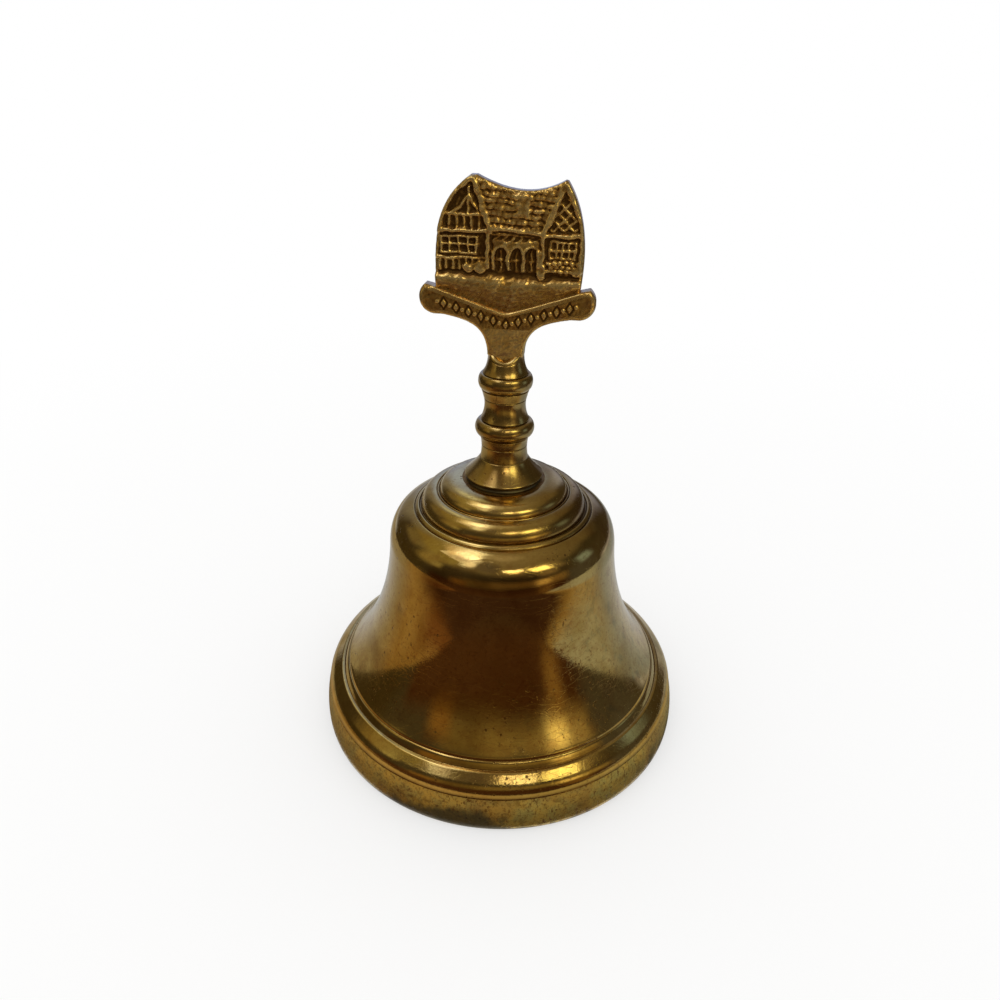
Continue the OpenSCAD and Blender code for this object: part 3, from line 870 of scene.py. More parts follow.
def stem_profile(sizes):
    """The turned stem, from the top of its tapped hole over the foot to the throat, in millimetres."""
    seat = HANDLE_LOW[2]
    foot, low_bead = sizes.foot_radius / MM, sizes.lower_bead_radius / MM
    top_bead, throat = sizes.upper_bead_radius / MM, sizes.throat_radius / MM
    tap_r, tap_top = 2.0, seat + 7.8
    edge = seat + 1.1
    neck = edge + 3.2
    bead_z = neck + 4.3
    cove_z = bead_z + 2.9
    top_z = cove_z + 5.7
    throat_z = top_z + 2.7
    end_z = throat_z + 3.6
    foot_of_stem = [
        [(0, tap_top + 0.6), (tap_r, tap_top), (tap_r, seat)],
        [(foot - 0.3, seat), (foot - 0.16, seat + 0.12)],
        cubic((foot - 0.2, seat + 0.2), (foot - 0.45, seat + 0.5),
              (foot - 0.4, edge - 0.35), (foot - 0.04, edge - 0.12), 8),
        [(foot, edge - 0.03)],
        cubic((foot - 0.05, edge + 0.06), (foot - 1.2, edge + 1.1),
              (4.86, edge + 2.24), (4.42, neck - 0.14), 20),
        [(4.30, neck - 0.06)],
        cubic((4.28, neck + 0.08), (4.06, neck + 1.2), (4.06, bead_z - 1.9), (4.10, bead_z - 1.95), 8),
        [(4.04, bead_z - 1.9), (4.05, bead_z - 1.8)],
        cubic((4.12, bead_z - 1.7), (4.14, bead_z - 1.2),
              (4.22, bead_z - 0.6), (4.34, bead_z - 0.24), 8),
    ]
    beads_and_cove = [
        [(4.12, bead_z - 0.12), (4.10, bead_z)],
        bulge(4.18, low_bead - 4.18, bead_z + 0.02, cove_z - 0.02, 18),
        [(4.06, cove_z + 0.02), (4.10, cove_z + 0.16), (4.26, cove_z + 0.22)],
        cubic((4.20, cove_z + 0.32), (3.60, cove_z + 1.5),
              (3.52, cove_z + 2.9), (3.68, cove_z + 3.8), 14),
        [(3.60, cove_z + 3.86), (3.66, cove_z + 3.96)],
        cubic((3.74, cove_z + 4.0), (3.86, cove_z + 4.5), (4.0, cove_z + 5.1), (4.16, top_z - 0.2), 8),
        [(3.94, top_z - 0.1), (3.94, top_z)],
        bulge(3.98, top_bead - 3.98, top_z + 0.02, throat_z - 0.02, 18),
    ]
    neck_under_bracket = [
        [(3.84, throat_z + 0.02), (3.86, throat_z + 0.12), (3.98, throat_z + 0.16)],
        cubic((3.92, throat_z + 0.24), (throat + 0.2, throat_z + 1.08),
              (throat, throat_z + 2.5), (throat, end_z), 16),
        [(throat - 0.1, end_z + 0.25), (throat - 0.4, end_z + 0.45)],
        [(throat - 0.9, end_z + 0.55), (0, end_z + 0.6)],
    ]
    return joined_path(foot_of_stem + beads_and_cove + neck_under_bracket)


# Places on banner and plaque in millimetres: the banner's lower edge, its round ends, its upper edge,
# which climbs from the middle to both sides, and the shoulders above its ends
BANNER_LOW = 80.59
BANNER_END_R = 2.7
BANNER_END_X = 11.65
BANNER_END_Z = BANNER_LOW + BANNER_END_R
BANNER_MID = BANNER_LOW + 0.6
BANNER_TOP = 0.25
BANNER_SLOPE = 0.334
SHOULDER_X = 11.7
SHOULDER_Z = BANNER_END_Z + 0.65 * BANNER_END_R


def banner_outline(sizes):
    """The bracket and banner, all round, in millimetres."""
    throat = sizes.throat_radius / MM
    start, tongue = 74.2, 2.2
    foot = [(0, start - 2.0), (tongue, start - 2.0), (tongue, start - 0.6)]
    sweep = cubic(
        (throat, start), (throat + 0.15, 79.07),
        (throat + 3.2, BANNER_LOW - 0.73), (BANNER_END_X - 1.2, BANNER_LOW), 24,
    )
    turn = np.radians(np.arange(-84, 60, 8))
    lobe = np.stack(
        [BANNER_END_X + BANNER_END_R * np.cos(turn), BANNER_END_Z + BANNER_END_R * np.sin(turn)], 1
    )
    top = cubic(
        (SHOULDER_X, SHOULDER_Z), (SHOULDER_X - 3.4, SHOULDER_Z - 1.1),
        (3.6, BANNER_MID + 1.0), (0, BANNER_MID + BANNER_TOP), 14,
    )
    right = np.concatenate([foot, sweep, lobe, top[:-1]])
    left = right[:0:-1] * (-1, 1)
    return np.concatenate([right, [top[-1]], left])


def plaque_outline():
    """The plaque's outline: two gables with a sagging ridge between them, in millimetres."""
    left_gable, right_gable = 101.69, 101.19
    half, rise = SHOULDER_X, 18.4
    left = cubic(
        (-half + 0.1, SHOULDER_Z), (-half - 0.2, SHOULDER_Z + 0.48 * rise),
        (-10.8, left_gable - 0.19 * rise), (-5.8, left_gable), 20,
    )
    ridge = cubic(
        (-4.9, left_gable), (-1.2, left_gable - 1.8), (3.7, left_gable - 3.24), (8.5, right_gable), 24
    )
    right = cubic(
        (8.9, right_gable - 0.1), (11.4, right_gable - 0.2 * rise),
        (half + 0.9, SHOULDER_Z + 0.4 * rise), (half, SHOULDER_Z), 20,
    )
    foot = [(half, BANNER_END_Z), (1.0, BANNER_LOW), (-1.0, BANNER_LOW), (-half, BANNER_END_Z)]
    return np.concatenate([left, ridge, right, foot])


def step_up(values, low, high):
    """A smooth rise from 0 to 1 between low and high."""
    t = np.clip((values - low) / (high - low), 0, 1)
    return t * t * (3 - 2 * t)


class Carving:
    """A height that grows as shapes are laid on it, in millimetres over a grid of places."""

    def __init__(self, x, t, ground):
        self.x, self.t = x, t
        self.height = ground

    def line_gap(self, points):
        """Distance to a line through points."""
        gap = np.full(self.x.shape, np.inf)
        for a, b in zip(points[:-1], points[1:]):
            a, b = np.array(a, float), np.array(b, float)
            d = b - a
            s = np.clip(((self.x - a[0]) * d[0] + (self.t - a[1]) * d[1]) / (d @ d), 0, 1)
            gap = np.minimum(gap, np.hypot(self.x - a[0] - s * d[0], self.t - a[1] - s * d[1]))
        return gap

    def lay(self, mask, level):
        """Raises or lowers the ground to a level where the mask is 1."""
        self.height = self.height * (1 - mask) + level * mask

    def beam(self, points, width, level):
        """A rounded bar along a line."""
        gap = self.line_gap(points) / (width / 2)
        mask = 1 - step_up(gap, 0.75, 1.2)
        crown = level - 0.10 * np.minimum(gap, 1.2) ** 2
        self.height = np.maximum(self.height, mask * crown + (1 - mask) * self.height)

    def box(self, left, right, low, high, level, soft=0.12):
        """A flat field with soft edges."""
        gap = np.maximum(
            np.maximum(left - self.x, self.x - right), np.maximum(low - self.t, self.t - high)
        )
        self.lay(1 - step_up(gap, -soft, soft), level)

    def mound(self, x, t, wide, tall, level, rise):
        """A rounded lump."""
        gap = np.hypot((self.x - x) / wide, (self.t - t) / tall)
        lump = level + rise * np.sqrt(np.clip(1 - gap**2, 0, 1))
        self.height = np.where(gap < 1, np.maximum(self.height, lump), self.height)

    def arch(self, x, foot, spring, half, level):
        """An opening with a round head."""
        gap_box = np.maximum(abs(self.x - x) - half, np.maximum(foot - self.t, self.t - spring))
        gap_head = np.hypot(self.x - x, self.t - spring) - half
        gap = np.minimum(gap_box, gap_head)
        self.lay(1 - step_up(gap, -0.12, 0.1), level)


def roof_tiles(x, t, lean):
    """Height of rounded tiles in staggered courses, 0 to 1."""
    course_h, tile_w = 0.92, 0.86
    row = (t + lean * x) / course_h
    number = np.floor(row)
    part = row - number
    across = (x / tile_w + 0.5 * (number % 2)) % 1.0
    tile = np.sqrt(np.clip(1 - (2 * across - 1) ** 2, 0.04, 1))
    return (1 - 0.75 * part) * (0.45 + 0.55 * tile)


def cottage_relief(x, z):
    """Front height of the plaque: a timbered cottage between two gables, behind a lawn with a path."""
    base, deepest = 0.6, 1.0
    rough = waves(3, 26, 0.5, 1.6)
    wide = waves(4, 14, 2.5, 7.0)
    unsteady = waves(5, 20, 1.2, 4.0), waves(6, 20, 1.2, 4.0)
    t = z - BANNER_MID
    x, t = x + 0.13 * unsteady[0](x, t), t + 0.13 * unsteady[1](x, t)
    art = Carving(x, t, np.full(x.shape, 0.28))

    # Roof and chimney
    left_verge, right_verge = 0.28 * (19.8 - t), 0.45 * (19.4 - t)
    between = step_up(x, -5.0 + left_verge, -4.6 + left_verge)
    between = between * (1 - step_up(x, 8.4 - right_verge, 8.8 - right_verge))
    roof = between * step_up(t, 12.5 - 0.07 * x, 12.8 - 0.07 * x)
    art.lay(roof, 0.40 + 0.48 * roof_tiles(x, t, 0.06))

    art.box(1.3, 3.3, 15.0, 18.1, 0.86)
    art.box(1.0, 3.6, 17.3, 17.9, 1.0)
    for course in range(4):
        art.beam([(1.35, 15.5 + 0.5 * course), (3.25, 15.5 + 0.5 * course)], 0.12, 0.74)
    for joint in range(8):
        level = 15.25 + 0.5 * (joint // 2)
        art.beam([(1.9 + 0.9 * (joint % 2), level), (1.9 + 0.9 * (joint % 2), level + 0.3)], 0.12, 0.95)

    # Eaves, and the three arches under them
    art.beam([(-2.7, 12.9), (5.6, 12.35)], 0.62, 0.98)
    art.beam([(-2.5, 12.25), (5.3, 11.75)], 0.3, 0.62)
    for post in range(4):
        place = -2.25 + 2.4 * post
        art.beam([(place, 6.6), (place, 9.6)], 0.62, 0.80)
        art.mound(place, 9.55, 0.5, 0.35, 0.55, 0.35)
    art.box(-2.4, 5.0, 9.5, 11.2, 0.62)
    for window in range(3):
        centre = -1.05 + 2.4 * window
        art.arch(centre, 6.7, 9.3, 0.82, 0.02)
        head = [(centre + math.cos(a), 9.3 + math.sin(a)) for a in np.linspace(0, math.pi, 12)]
        art.beam(head, 0.3, 0.86)
        art.beam([(centre, 6.8), (centre, 10.0)], 0.2, 0.42)
        art.beam([(centre - 0.75, 8.2), (centre + 0.75, 8.2)], 0.2, 0.42)
    for panel in range(6):
        left = -2.2 + 1.22 * panel
        art.beam([(left, 11.1 - 0.06 * left), (left + 0.9, 11.75 - 0.06 * left)], 0.2, 0.66)

    # Left gable, with its window and the studs under it
    left_slope = [(-11.0, 12.9), (-10.3, 15.0), (-9.2, 17.0), (-7.7, 18.8), (-5.6, 20.0)]
    art.beam(left_slope, 0.95, 0.98)
    art.beam([(-5.3, 20.0), (-4.1, 16.4), (-2.8, 12.7)], 0.95, 1.0)
    art.beam([(-10.7, 14.9), (-3.7, 14.9)], 0.5, 0.78)
    art.beam([(-6.2, 15.0), (-6.0, 18.8)], 0.42, 0.74)
    art.beam([(-8.9, 15.2), (-7.4, 16.0), (-6.3, 17.6)], 0.36, 0.68)
    art.beam([(-4.5, 15.2), (-5.3, 16.2), (-5.9, 17.6)], 0.36, 0.68)
    art.beam([(-11.4, 12.5), (-2.7, 12.5)], 0.66, 0.95)
    for stud in range(7):
        place = -10.3 + 1.15 * stud
        art.beam([(place, 12.8), (place, 14.7)], 0.34, 0.66)
    art.box(-10.5, -4.9, 9.3, 11.6, 0.10)
    for light in range(5):
        place = -10.5 + 1.4 * light
        art.beam([(place, 9.3), (place, 11.6)], 0.34, 0.80)
    for bar in (9.2, 10.5, 11.7):
        art.beam([(-10.6, bar), (-4.8, bar)], 0.34, 0.78)
    art.beam([(-11.3, 8.5), (-3.0, 8.5)], 0.4, 0.74)
    for stud in range(8):
        place = -10.8 + 1.05 * stud
        art.beam([(place, 6.6), (place, 8.4)], 0.34, 0.66)
    art.beam([(-3.15, 6.6), (-3.15, 12.5)], 0.66, 0.90)

    # Right gable, with its lattice, its bay and the stones under it
    art.beam([(8.5, 19.3), (7.0, 15.8), (5.5, 12.3)], 0.95, 1.0)
    art.beam([(8.8, 19.2), (10.2, 16.6), (11.2, 14.0), (11.5, 12.6)], 0.9, 0.98)
    left_edge, right_edge = 0.42 * (t - 12.4), 0.34 * (t - 12.4)
    gable = step_up(x, 5.9 + left_edge, 6.3 + left_edge)
    gable = gable * (1 - step_up(x, 10.9 - right_edge, 11.2 - right_edge))
    gable = gable * step_up(t, 12.6, 12.9) * (1 - step_up(t, 17.6, 18.2))
    for way in (-1, 1):
        stripe = abs(((x - 8.6 + way * (t - 13.6)) / 1.7) % 1.0 - 0.5) * 1.7
        art.lay(gable * (1 - step_up(stripe, 0.10, 0.24)) * 0.9, 0.74)
    art.beam([(5.5, 12.2), (11.7, 12.2)], 0.62, 0.95)
    art.beam([(5.5, 6.6), (5.5, 12.2)], 0.6, 0.88)
    art.beam([(11.3, 6.6), (11.4, 12.2)], 0.5, 0.85)
    bay = (1 - step_up(abs(x - 8.6), 2.0, 2.2)) * step_up(t, 8.6, 8.8) * (1 - step_up(t, 11.3, 11.5))
    art.lay(bay, 0.42 + 0.34 * np.sqrt(np.clip(1 - ((x - 8.6) / 2.3) ** 2, 0, 1)))
    for pane in range(4):
        for level in range(2):
            left = 6.75 + 0.98 * pane
            art.box(left, left + 0.66, 8.95 + 1.2 * level, 9.85 + 1.2 * level, 0.22, 0.1)
    for stone in range(18):
        row, place = divmod(stone, 6)
        art.mound(6.4 + 0.92 * place + 0.4 * (row % 2), 6.9 + 0.62 * row, 0.46, 0.33, 0.45, 0.28)

    # Lawn, path and shrubs
    hill = 6.35 + 0.45 * np.cos((x + 3.0) / 5.5)
    border = BANNER_SLOPE * abs(x) + 0.1
    fall = np.clip((hill - t) / np.maximum(hill - border, 0.5), 0, 1)
    lawn = 0.14 + 0.80 * step_up(fall, 0.08, 0.36) - 0.35 * step_up(fall, 0.5, 1.0)
    lawn = lawn + 0.04 * rough(x * 0.8, t * 1.6) + 0.06 * wide(x, t)
    art.lay(1 - step_up(t, hill - 0.18, hill + 0.12), lawn)
    middle = 1.3 - 0.6 * (6.4 - t) + 0.5 * np.sin(t * 0.9)
    half = 0.5 + 0.22 * (6.4 - t)
    path = (1 - step_up(abs(x - middle), half - 0.15, half + 0.15)) * (1 - step_up(t, hill - 0.6, hill))
    art.lay(path * 0.8, lawn - 0.10 - 0.05 * (np.sin(t * 7.0) > 0.6))
    art.mound(-4.3, 7.1, 1.15, 1.0, 0.55, 0.38)
    art.mound(-6.2, 6.9, 0.95, 0.8, 0.5, 0.32)
    art.mound(5.3, 6.9, 0.85, 1.5, 0.55, 0.38)
    art.mound(10.9, 6.9, 0.8, 0.9, 0.5, 0.34)

    # Unevenness of the casting, stronger on the building than on the lawn
    built = step_up(t, hill - 0.3, hill + 0.3)
    lumpy = 1 - built * (0.25 - 0.35 * (0.5 + 0.5 * wide(x * 1.7, t * 1.7)))
    height = np.clip(art.height * lumpy + (0.03 + 0.05 * built) * rough(x, t), 0, 1.02)
    return base + deepest * blurred(height, 0.8)


def banner_front(x, z):
    """Front height of the bracket and banner: a bordered band with a row of lozenges and beads."""
    rough = waves(8, 24, 0.5, 2.0)
    wide = waves(9, 12, 3.0, 8.0)
    level, highest = 1.9, 2.09
    top_edge = BANNER_MID + BANNER_TOP + BANNER_SLOPE * np.maximum(abs(x) - 0.6, 0)
    under = top_edge - z
    reach = 1 - step_up(abs(x), SHOULDER_X - 0.5, SHOULDER_X + 1.0)
    height = level - 0.12 + 0.34 * reach * (1 - step_up(abs(under - 0.05), 0.20, 0.50))
    half_pitch = 1.02
    for k in range(-11, 12):
        place = k * half_pitch
        middle = BANNER_MID + BANNER_TOP + 0.30 * abs(place) - 2.0
        dx, dz = abs(x - place), abs(z - middle)
        if k % 2:
            gap = np.hypot(dx, dz) / 0.34
            height = height + 0.19 * np.sqrt(np.clip(1 - gap**2, 0, 1))
        else:
            gap = dx / 0.74 + dz / 1.15
            height = height - 0.11 * (1 - step_up(gap, 0.95, 1.25))
            height = height + 0.24 * (1 - step_up(gap, 0.35, 0.75))
    return np.minimum(height + 0.03 * rough(x, z) + 0.03 * wide(x, z), highest)


def plain_back(thickness, seed):
    """A plain cast back at a distance behind the middle plane."""
    rough = waves(seed, 24, 0.8, 3.0)
    wide = waves(seed + 1, 12, 4.0, 10.0)

    def back(x, z):
        """Height behind the middle plane at these places."""
        return np.minimum(thickness - 0.08 + 0.03 * rough(x, z) + 0.05 * wide(x, z), thickness)

    return back


class TABLEBELL_OT_bell(bpy.types.Operator):
    """Turn the bell"""

    bl_idname = "table_bell.bell"
    bl_label = "Bell"

    def execute(self, context):
        sizes, shades = context.scene.table_bell_sizes, context.scene.table_bell_colours
        outside = bell_outside(sizes)
        edge = refined(softened(outside, 0.13), 0.45)
        hollow = refined(softened(bell_inside(sizes, outside), 0.3), 0.9)
        profile = np.concatenate([edge, hollow])
        cavity = profile_cavity(profile, 0.42, True)
        dents = waves(21, 16, 6.0, 22.0)
        steps = sizes.turn_steps

        def shift(angle, radius, height):
            """A fine unevenness all round, and the dents outside."""
            around = 25.0 * np.minimum(angle, 2 * math.pi - angle)
            ripple = 0.006 * (1 + dents(around, height)) * step_up(height, 0.5, 4.0)
            outer = (np.arange(len(radius)) < len(edge))[:, None]
            spots = np.stack([radius * np.cos(angle), radius * np.sin(angle), height], -1)
            dented = marks(DENTS, spots.reshape(-1, 3)).reshape(radius.shape)
            return -ripple - outer * dented, 0.0

        points, faces = turned_mesh(profile, steps, True, shift)
        outer_faces = (len(edge) - 1) * steps
        dullness, bright_low, bright_high = 0.060, 0.0118, 0.0448
        materials = [
            turned_brass(
                "turned_bell_brass", shades, dullness, sizes.band_height, bright_low, bright_high
            ),
            sand_cast_brass("bell_inside_brass", shades),
        ]
        for middle, reach, left_over in POLISHED_OUT:
            cavity = np.where(abs(profile[:, 1] - middle) < reach, left_over * cavity, cavity)
        values = {
            "cavity": np.repeat(cavity, steps),
            "stain_and_shade": marks(DARK_STAINS_AND_RIM_SHADE, points) + DENT_DARKENING * marks(DENTS, points),
            "heat": marks(HEAT_MARKS, points),
            "tarnish_and_shade": marks(TARNISH_AND_PAINTED_SHADE, points),
        }
        add_piece("turned_bell", points, faces, materials, "bell", "bell_body", values,
                  outer_faces)
        return {"FINISHED"}


class TABLEBELL_OT_stem(bpy.types.Operator):
    """Turn the handle's stem"""

    bl_idname = "table_bell.stem"
    bl_label = "Stem"

    def execute(self, context):
        sizes, shades = context.scene.table_bell_sizes, context.scene.table_bell_colours
        profile = refined(softened(stem_profile(sizes), 0.06), 0.3)
        cavity = profile_cavity(profile, 0.36, False)
        steps = sizes.turn_steps // 2
        top = profile[:, 1].max()

        def shift(angle, radius, height):
            """Lowers the end of the stem in front and behind, where the bracket is thin."""
            return 0.0, -1.5 * np.sin(angle) ** 2 * step_up(height, top - 2.4, top - 0.5)

        points, faces = turned_mesh(profile, steps, False, shift)
        dullness, tarnish_and_shade = 0.16, 0.42
        material = turned_brass("turned_stem_brass", shades, dullness, *ALL_BRIGHT)
        # Dirt and painted shade round the bottom of the foot, where it stands on the crown
        foot_dirt_and_shade = [(0, HANDLE_LOW[2] + 0.25, 900, 0.32, 1.1)]
        values = {
            "cavity": np.repeat(cavity, steps),
            "stain_and_shade": marks(foot_dirt_and_shade, points),
            "tarnish_and_shade": np.full(len(points), tarnish_and_shade),
        }
        add_piece("handle_stem", points, faces, [material], "bell", "handle", values)
        return {"FINISHED"}


class TABLEBELL_OT_banner(bpy.types.Operator):
    """Cast the bracket and the banner"""

    bl_idname = "table_bell.banner"
    bl_label = "Banner"

    def execute(self, context):
        sizes, shades = context.scene.table_bell_sizes, context.scene.table_bell_colours
        edge_round, thickness, seed = 0.75, 1.7, 31
        points, faces, cavity = plate_mesh(
            banner_outline(sizes), sizes.relief_spacing / MM, edge_round, banner_front,
            plain_back(thickness, seed),
        )
        bracket_top, bracket_rub = BANNER_MID - 2.4, 0.45
        cavity = np.where(points[:, 2] < bracket_top, np.maximum(cavity, bracket_rub), cavity)
        material = cast_brass("cast_banner_brass", shades)
        values = {"cavity": cavity}
        add_piece("handle_banner", points, faces, [material], "bell", "handle", values)
        return {"FINISHED"}


class TABLEBELL_OT_plaque(bpy.types.Operator):
    """Cast the plaque with its relief"""

    bl_idname = "table_bell.plaque"
    bl_label = "Plaque"

    def execute(self, context):
        sizes, shades = context.scene.table_bell_sizes, context.scene.table_bell_colours
        edge_round, thickness, seed = 0.5, 1.62, 41
        points, faces, cavity = plate_mesh(
            plaque_outline(), sizes.relief_spacing / MM, edge_round, cottage_relief,
            plain_back(thickness, seed),
        )
        material = cast_brass("cast_plaque_brass", shades)
        values = {"cavity": cavity}
        add_piece("handle_plaque", points, faces, [material], "bell", "handle", values)
        return {"FINISHED"}


# Points round each wire
WIRE_SIDES = 20


def bolt_mesh(eye_z, eye_r, wire_r, bolt_r, top):
    """The eye of bent wire under a threaded shank."""
    turn = np.radians(np.linspace(90, 90 + 344, 60))
    ring = np.stack([eye_r * np.cos(turn), 0 * turn, eye_z + eye_r * np.sin(turn)], 1)
    eye_points, faces = swept_mesh(ring, wire_r, WIRE_SIDES, False)
    pitch, depth, steps = 0.7, 0.22, 48
    low = eye_z + eye_r - 0.2
    heights = np.arange(low, top + pitch / 12, pitch / 12)
    angles = np.linspace(0, 2 * math.pi, steps, endpoint=False)
    phase = (heights[:, None] / pitch - angles[None] / (2 * math.pi)) % 1.0
    cut = depth * (1 - abs(2 * phase - 1)) * step_up(heights, low + 0.3, low + 0.8)[:, None]
    radius = bolt_r - cut
    z = np.repeat(heights[:, None], steps, 1)
    shank = np.stack([radius * np.cos(angles), radius * np.sin(angles), z], -1).reshape(-1, 3)
    start, end = len(eye_points), len(eye_points) + len(shank)
    faces = faces + ring_faces(len(heights), steps, False, start)
    faces.append(list(range(start, start + steps))[::-1])
    faces.append(list(range(end - steps, end)))
    return np.concatenate([eye_points, shank]), faces


def nut_mesh(flats, hole_r, low, high):
    """A hexagon nut with its corners chamfered above and below."""
    steps = 96
    angles = np.linspace(0, 2 * math.pi, steps, endpoint=False)
    sector = (angles + math.pi / 6) % (math.pi / 3) - math.pi / 6
    hexagon = flats / 2 / np.cos(sector)
    face_r = flats / 2 * 0.96
    slope = math.tan(math.radians(30))
    drop = np.maximum(hexagon - face_r, 0) * slope
    bevel, edge_w, edge_h = 0.3, 0.04, 0.06
    rows = [
        (hole_r, low + bevel),
        (hole_r + bevel, low),
        (face_r, low),
        (hexagon - edge_w, low + drop),
        (hexagon, low + drop + edge_h),
        (hexagon, high - drop - edge_h),
        (hexagon - edge_w, high - drop),
        (face_r, high),
        (hole_r + bevel, high),
        (hole_r, high - bevel),
    ]
    points = np.concatenate(
        [np.stack([r * np.cos(angles), r * np.sin(angles), z + 0 * angles], 1) for r, z in rows]
    )
    return points, ring_faces(len(rows), steps, True)


class TABLEBELL_OT_fixings(bpy.types.Operator):
    """Make the eye bolt, the washer and the nut"""

    bl_idname = "table_bell.fixings"
    bl_label = "Fixings"

    def execute(self, context):
        shades = context.scene.table_bell_colours
        dullness = 0.32
        zinc = plated_steel("zinc_plated_steel", tuple(shades.zinc), tuple(shades.dirt), dullness)
        wire_r, eye_mid_r = 0.9, 2.7
        eye_z = BOLT_LOW[2] + eye_mid_r + wire_r
        points, faces = bolt_mesh(eye_z, eye_mid_r, wire_r, BOLT_HIGH[1], BOLT_HIGH[2])
        add_piece("threaded_eye", points, faces, [zinc], "bell", "eye_bolt")
        outer, inner = WASHER_HIGH[0], 2.2
        low, high = WASHER_LOW[2], WASHER_HIGH[2]
        ring = [(inner, low), (outer, low), (outer, high), (inner, high), (inner, low)]
        section = refined(softened(np.array(ring, float), 0.12), 0.6)
        points, faces = turned_mesh(section, 72, False)
        add_piece("plain_washer", points, faces, [zinc], "bell", "crown_washer")
        flats, thread_r = 2 * NUT_HIGH[1], 2.0
        points, faces = nut_mesh(flats, thread_r, NUT_LOW[2], NUT_HIGH[2])
        add_piece("hexagon_nut", points, faces, [zinc], "bell", "clamp_nut")
        return {"FINISHED"}


class TABLEBELL_OT_clapper(bpy.types.Operator):
    """Make the link, the wire and the ball of the clapper"""

    bl_idname = "table_bell.clapper"
    bl_label = "Clapper"

    def execute(self, context):
        shades = context.scene.table_bell_colours
        dullness = 0.38
        steel = plated_steel("drawn_wire_steel", tuple(shades.wire), tuple(shades.dirt), dullness)
        link_wire = LINK_HIGH[0]
        half = LINK_HIGH[1] - link_wire
        top, bottom = LINK_HIGH[2] - link_wire - half, LINK_LOW[2] + link_wire + half
        turn = np.linspace(0, math.pi, 22)
        upper = np.stack([0 * turn, half * np.cos(turn), top + half * np.sin(turn)], 1)
        lower = np.stack([0 * turn, -half * np.cos(turn), bottom - half * np.sin(turn)], 1)
        sides = refined(np.array([upper[-1], lower[0]]), 0.4)[1:-1]
        oval = np.concatenate([upper, sides, lower, sides[::-1] * (1, -1, 1)])
        points, faces = swept_mesh(oval, link_wire, WIRE_SIDES, True)
        add_piece("oval_link", points, faces, [steel], "link", "clapper_link")

        rod_wire = 0.8
        loop_r = ROD_HIGH[0] - rod_wire
        loop_z = ROD_HIGH[2] - rod_wire - loop_r
        turn = np.radians(np.linspace(-62, 248, 56))
        loop = np.stack([loop_r * np.cos(turn), 0 * turn, loop_z + loop_r * np.sin(turn)], 1)
        bend_z = loop_z - loop_r - 2.2
        leaving = loop[0] + (loop[0] - loop[1]) * 5
        bend = cubic((0, 0, bend_z), (0, 0, loop_z - loop_r - 0.7), leaving, loop[0], 10)
        rivet_low, rivet_r, rivet_h = ROD_LOW[2], 1.5, 0.6
        shank = refined(np.array([(0, 0, rivet_low + 0.3), (0, 0, bend_z)], float), 1.0)
        path = np.concatenate([shank, bend[1:], loop[1:]])
        wire_points, wire_faces = swept_mesh(path, rod_wire, WIRE_SIDES, False)
        head = [
            (0, rivet_low),
            (0.6 * rivet_r, rivet_low + 0.04),
            (rivet_r - 0.08, rivet_low + 0.28),
            (rivet_r, rivet_low + rivet_h),
            (0, rivet_low + rivet_h),
        ]
        head = refined(softened(np.array(head, float), 0.2), 0.3)
        head_points, head_faces = turned_mesh(head, 48, False)
        points = np.concatenate([wire_points, head_points])
        faces = wire_faces + (head_faces + len(wire_points)).tolist()
        add_piece("looped_wire", points, faces, [steel], "clapper", "clapper_rod")

        ball_r, bore, steps = BALL_HIGH[0], 0.83, 96
        centre, flat = BALL_HIGH[2] - ball_r, BALL_LOW[2]
        arc = np.linspace(math.pi - math.asin(rivet_r / ball_r), math.asin(bore / ball_r), 60)
        side = np.stack([ball_r * np.sin(arc), centre + ball_r * np.cos(arc)], 1)
        section = np.concatenate([[(bore, flat)], side, [(bore, flat)]])
        profile = refined(softened(section, 0.12), 0.5)
        points, faces = turned_mesh(profile, steps, False)
        dullness = 0.30
        brass = turned_brass("ball_brass", shades, dullness, *ALL_BRIGHT)
        values = {"cavity": np.repeat(profile_cavity(profile, 0.4, False), steps)}
        add_piece("striking_ball", points, faces, [brass], "clapper", "clapper_ball",
                  values)
        return {"FINISHED"}


# The photograph's camera, with the object's plaque turned towards its right
LENS = 25.99
VIEW_YAW = math.radians(7.0)
VIEW_PITCH = math.radians(29.22)
VIEW_ROLL = math.radians(1.04)
VIEW_DISTANCE = 118.0
VIEW_HEIGHT = 111.92
VIEW_SIDE = -0.59


def add_camera(scene):
    """A camera at the photograph's place."""
    level = Vector((-math.sin(VIEW_YAW), math.cos(VIEW_YAW), 0))
    right = Vector((math.cos(VIEW_YAW), math.sin(VIEW_YAW), 0))
    forward = level * math.cos(VIEW_PITCH) - Vector((0, 0, math.sin(VIEW_PITCH)))
    up = level * math.sin(VIEW_PITCH) + Vector((0, 0, math.cos(VIEW_PITCH)))
    x_axis = right * math.cos(VIEW_ROLL) + up * math.sin(VIEW_ROLL)
    y_axis = up * math.cos(VIEW_ROLL) - right * math.sin(VIEW_ROLL)
    data = bpy.data.cameras.new("camera")
    data.sensor_width = 36.0
    data.lens = LENS
    data.clip_start = 0.005
    data.clip_end = 50.0
    camera = bpy.data.objects.new("camera", data)
    scene.collection.objects.link(camera)
    place = level * -VIEW_DISTANCE + right * VIEW_SIDE + Vector((0, 0, VIEW_HEIGHT))
    axes = Matrix((x_axis, y_axis, -forward)).transposed().to_4x4()
    camera.matrix_world = Matrix.Translation(place * MM) @ axes
    scene.camera = camera


def stage_object(name, points, faces, material, seen_by):
    """A stage surface in metres that only the named kinds of rays see."""
    mesh = bpy.data.meshes.new(name)
    mesh.from_pydata(points, [], faces)
    mesh.materials.append(material)
    surface = bpy.data.objects.new(name, mesh)
    bpy.context.scene.collection.objects.link(surface)
    for kind in ("camera", "diffuse", "glossy", "transmission", "volume_scatter", "shadow"):
        setattr(surface, "visible_" + kind, kind in seen_by)
    return surface


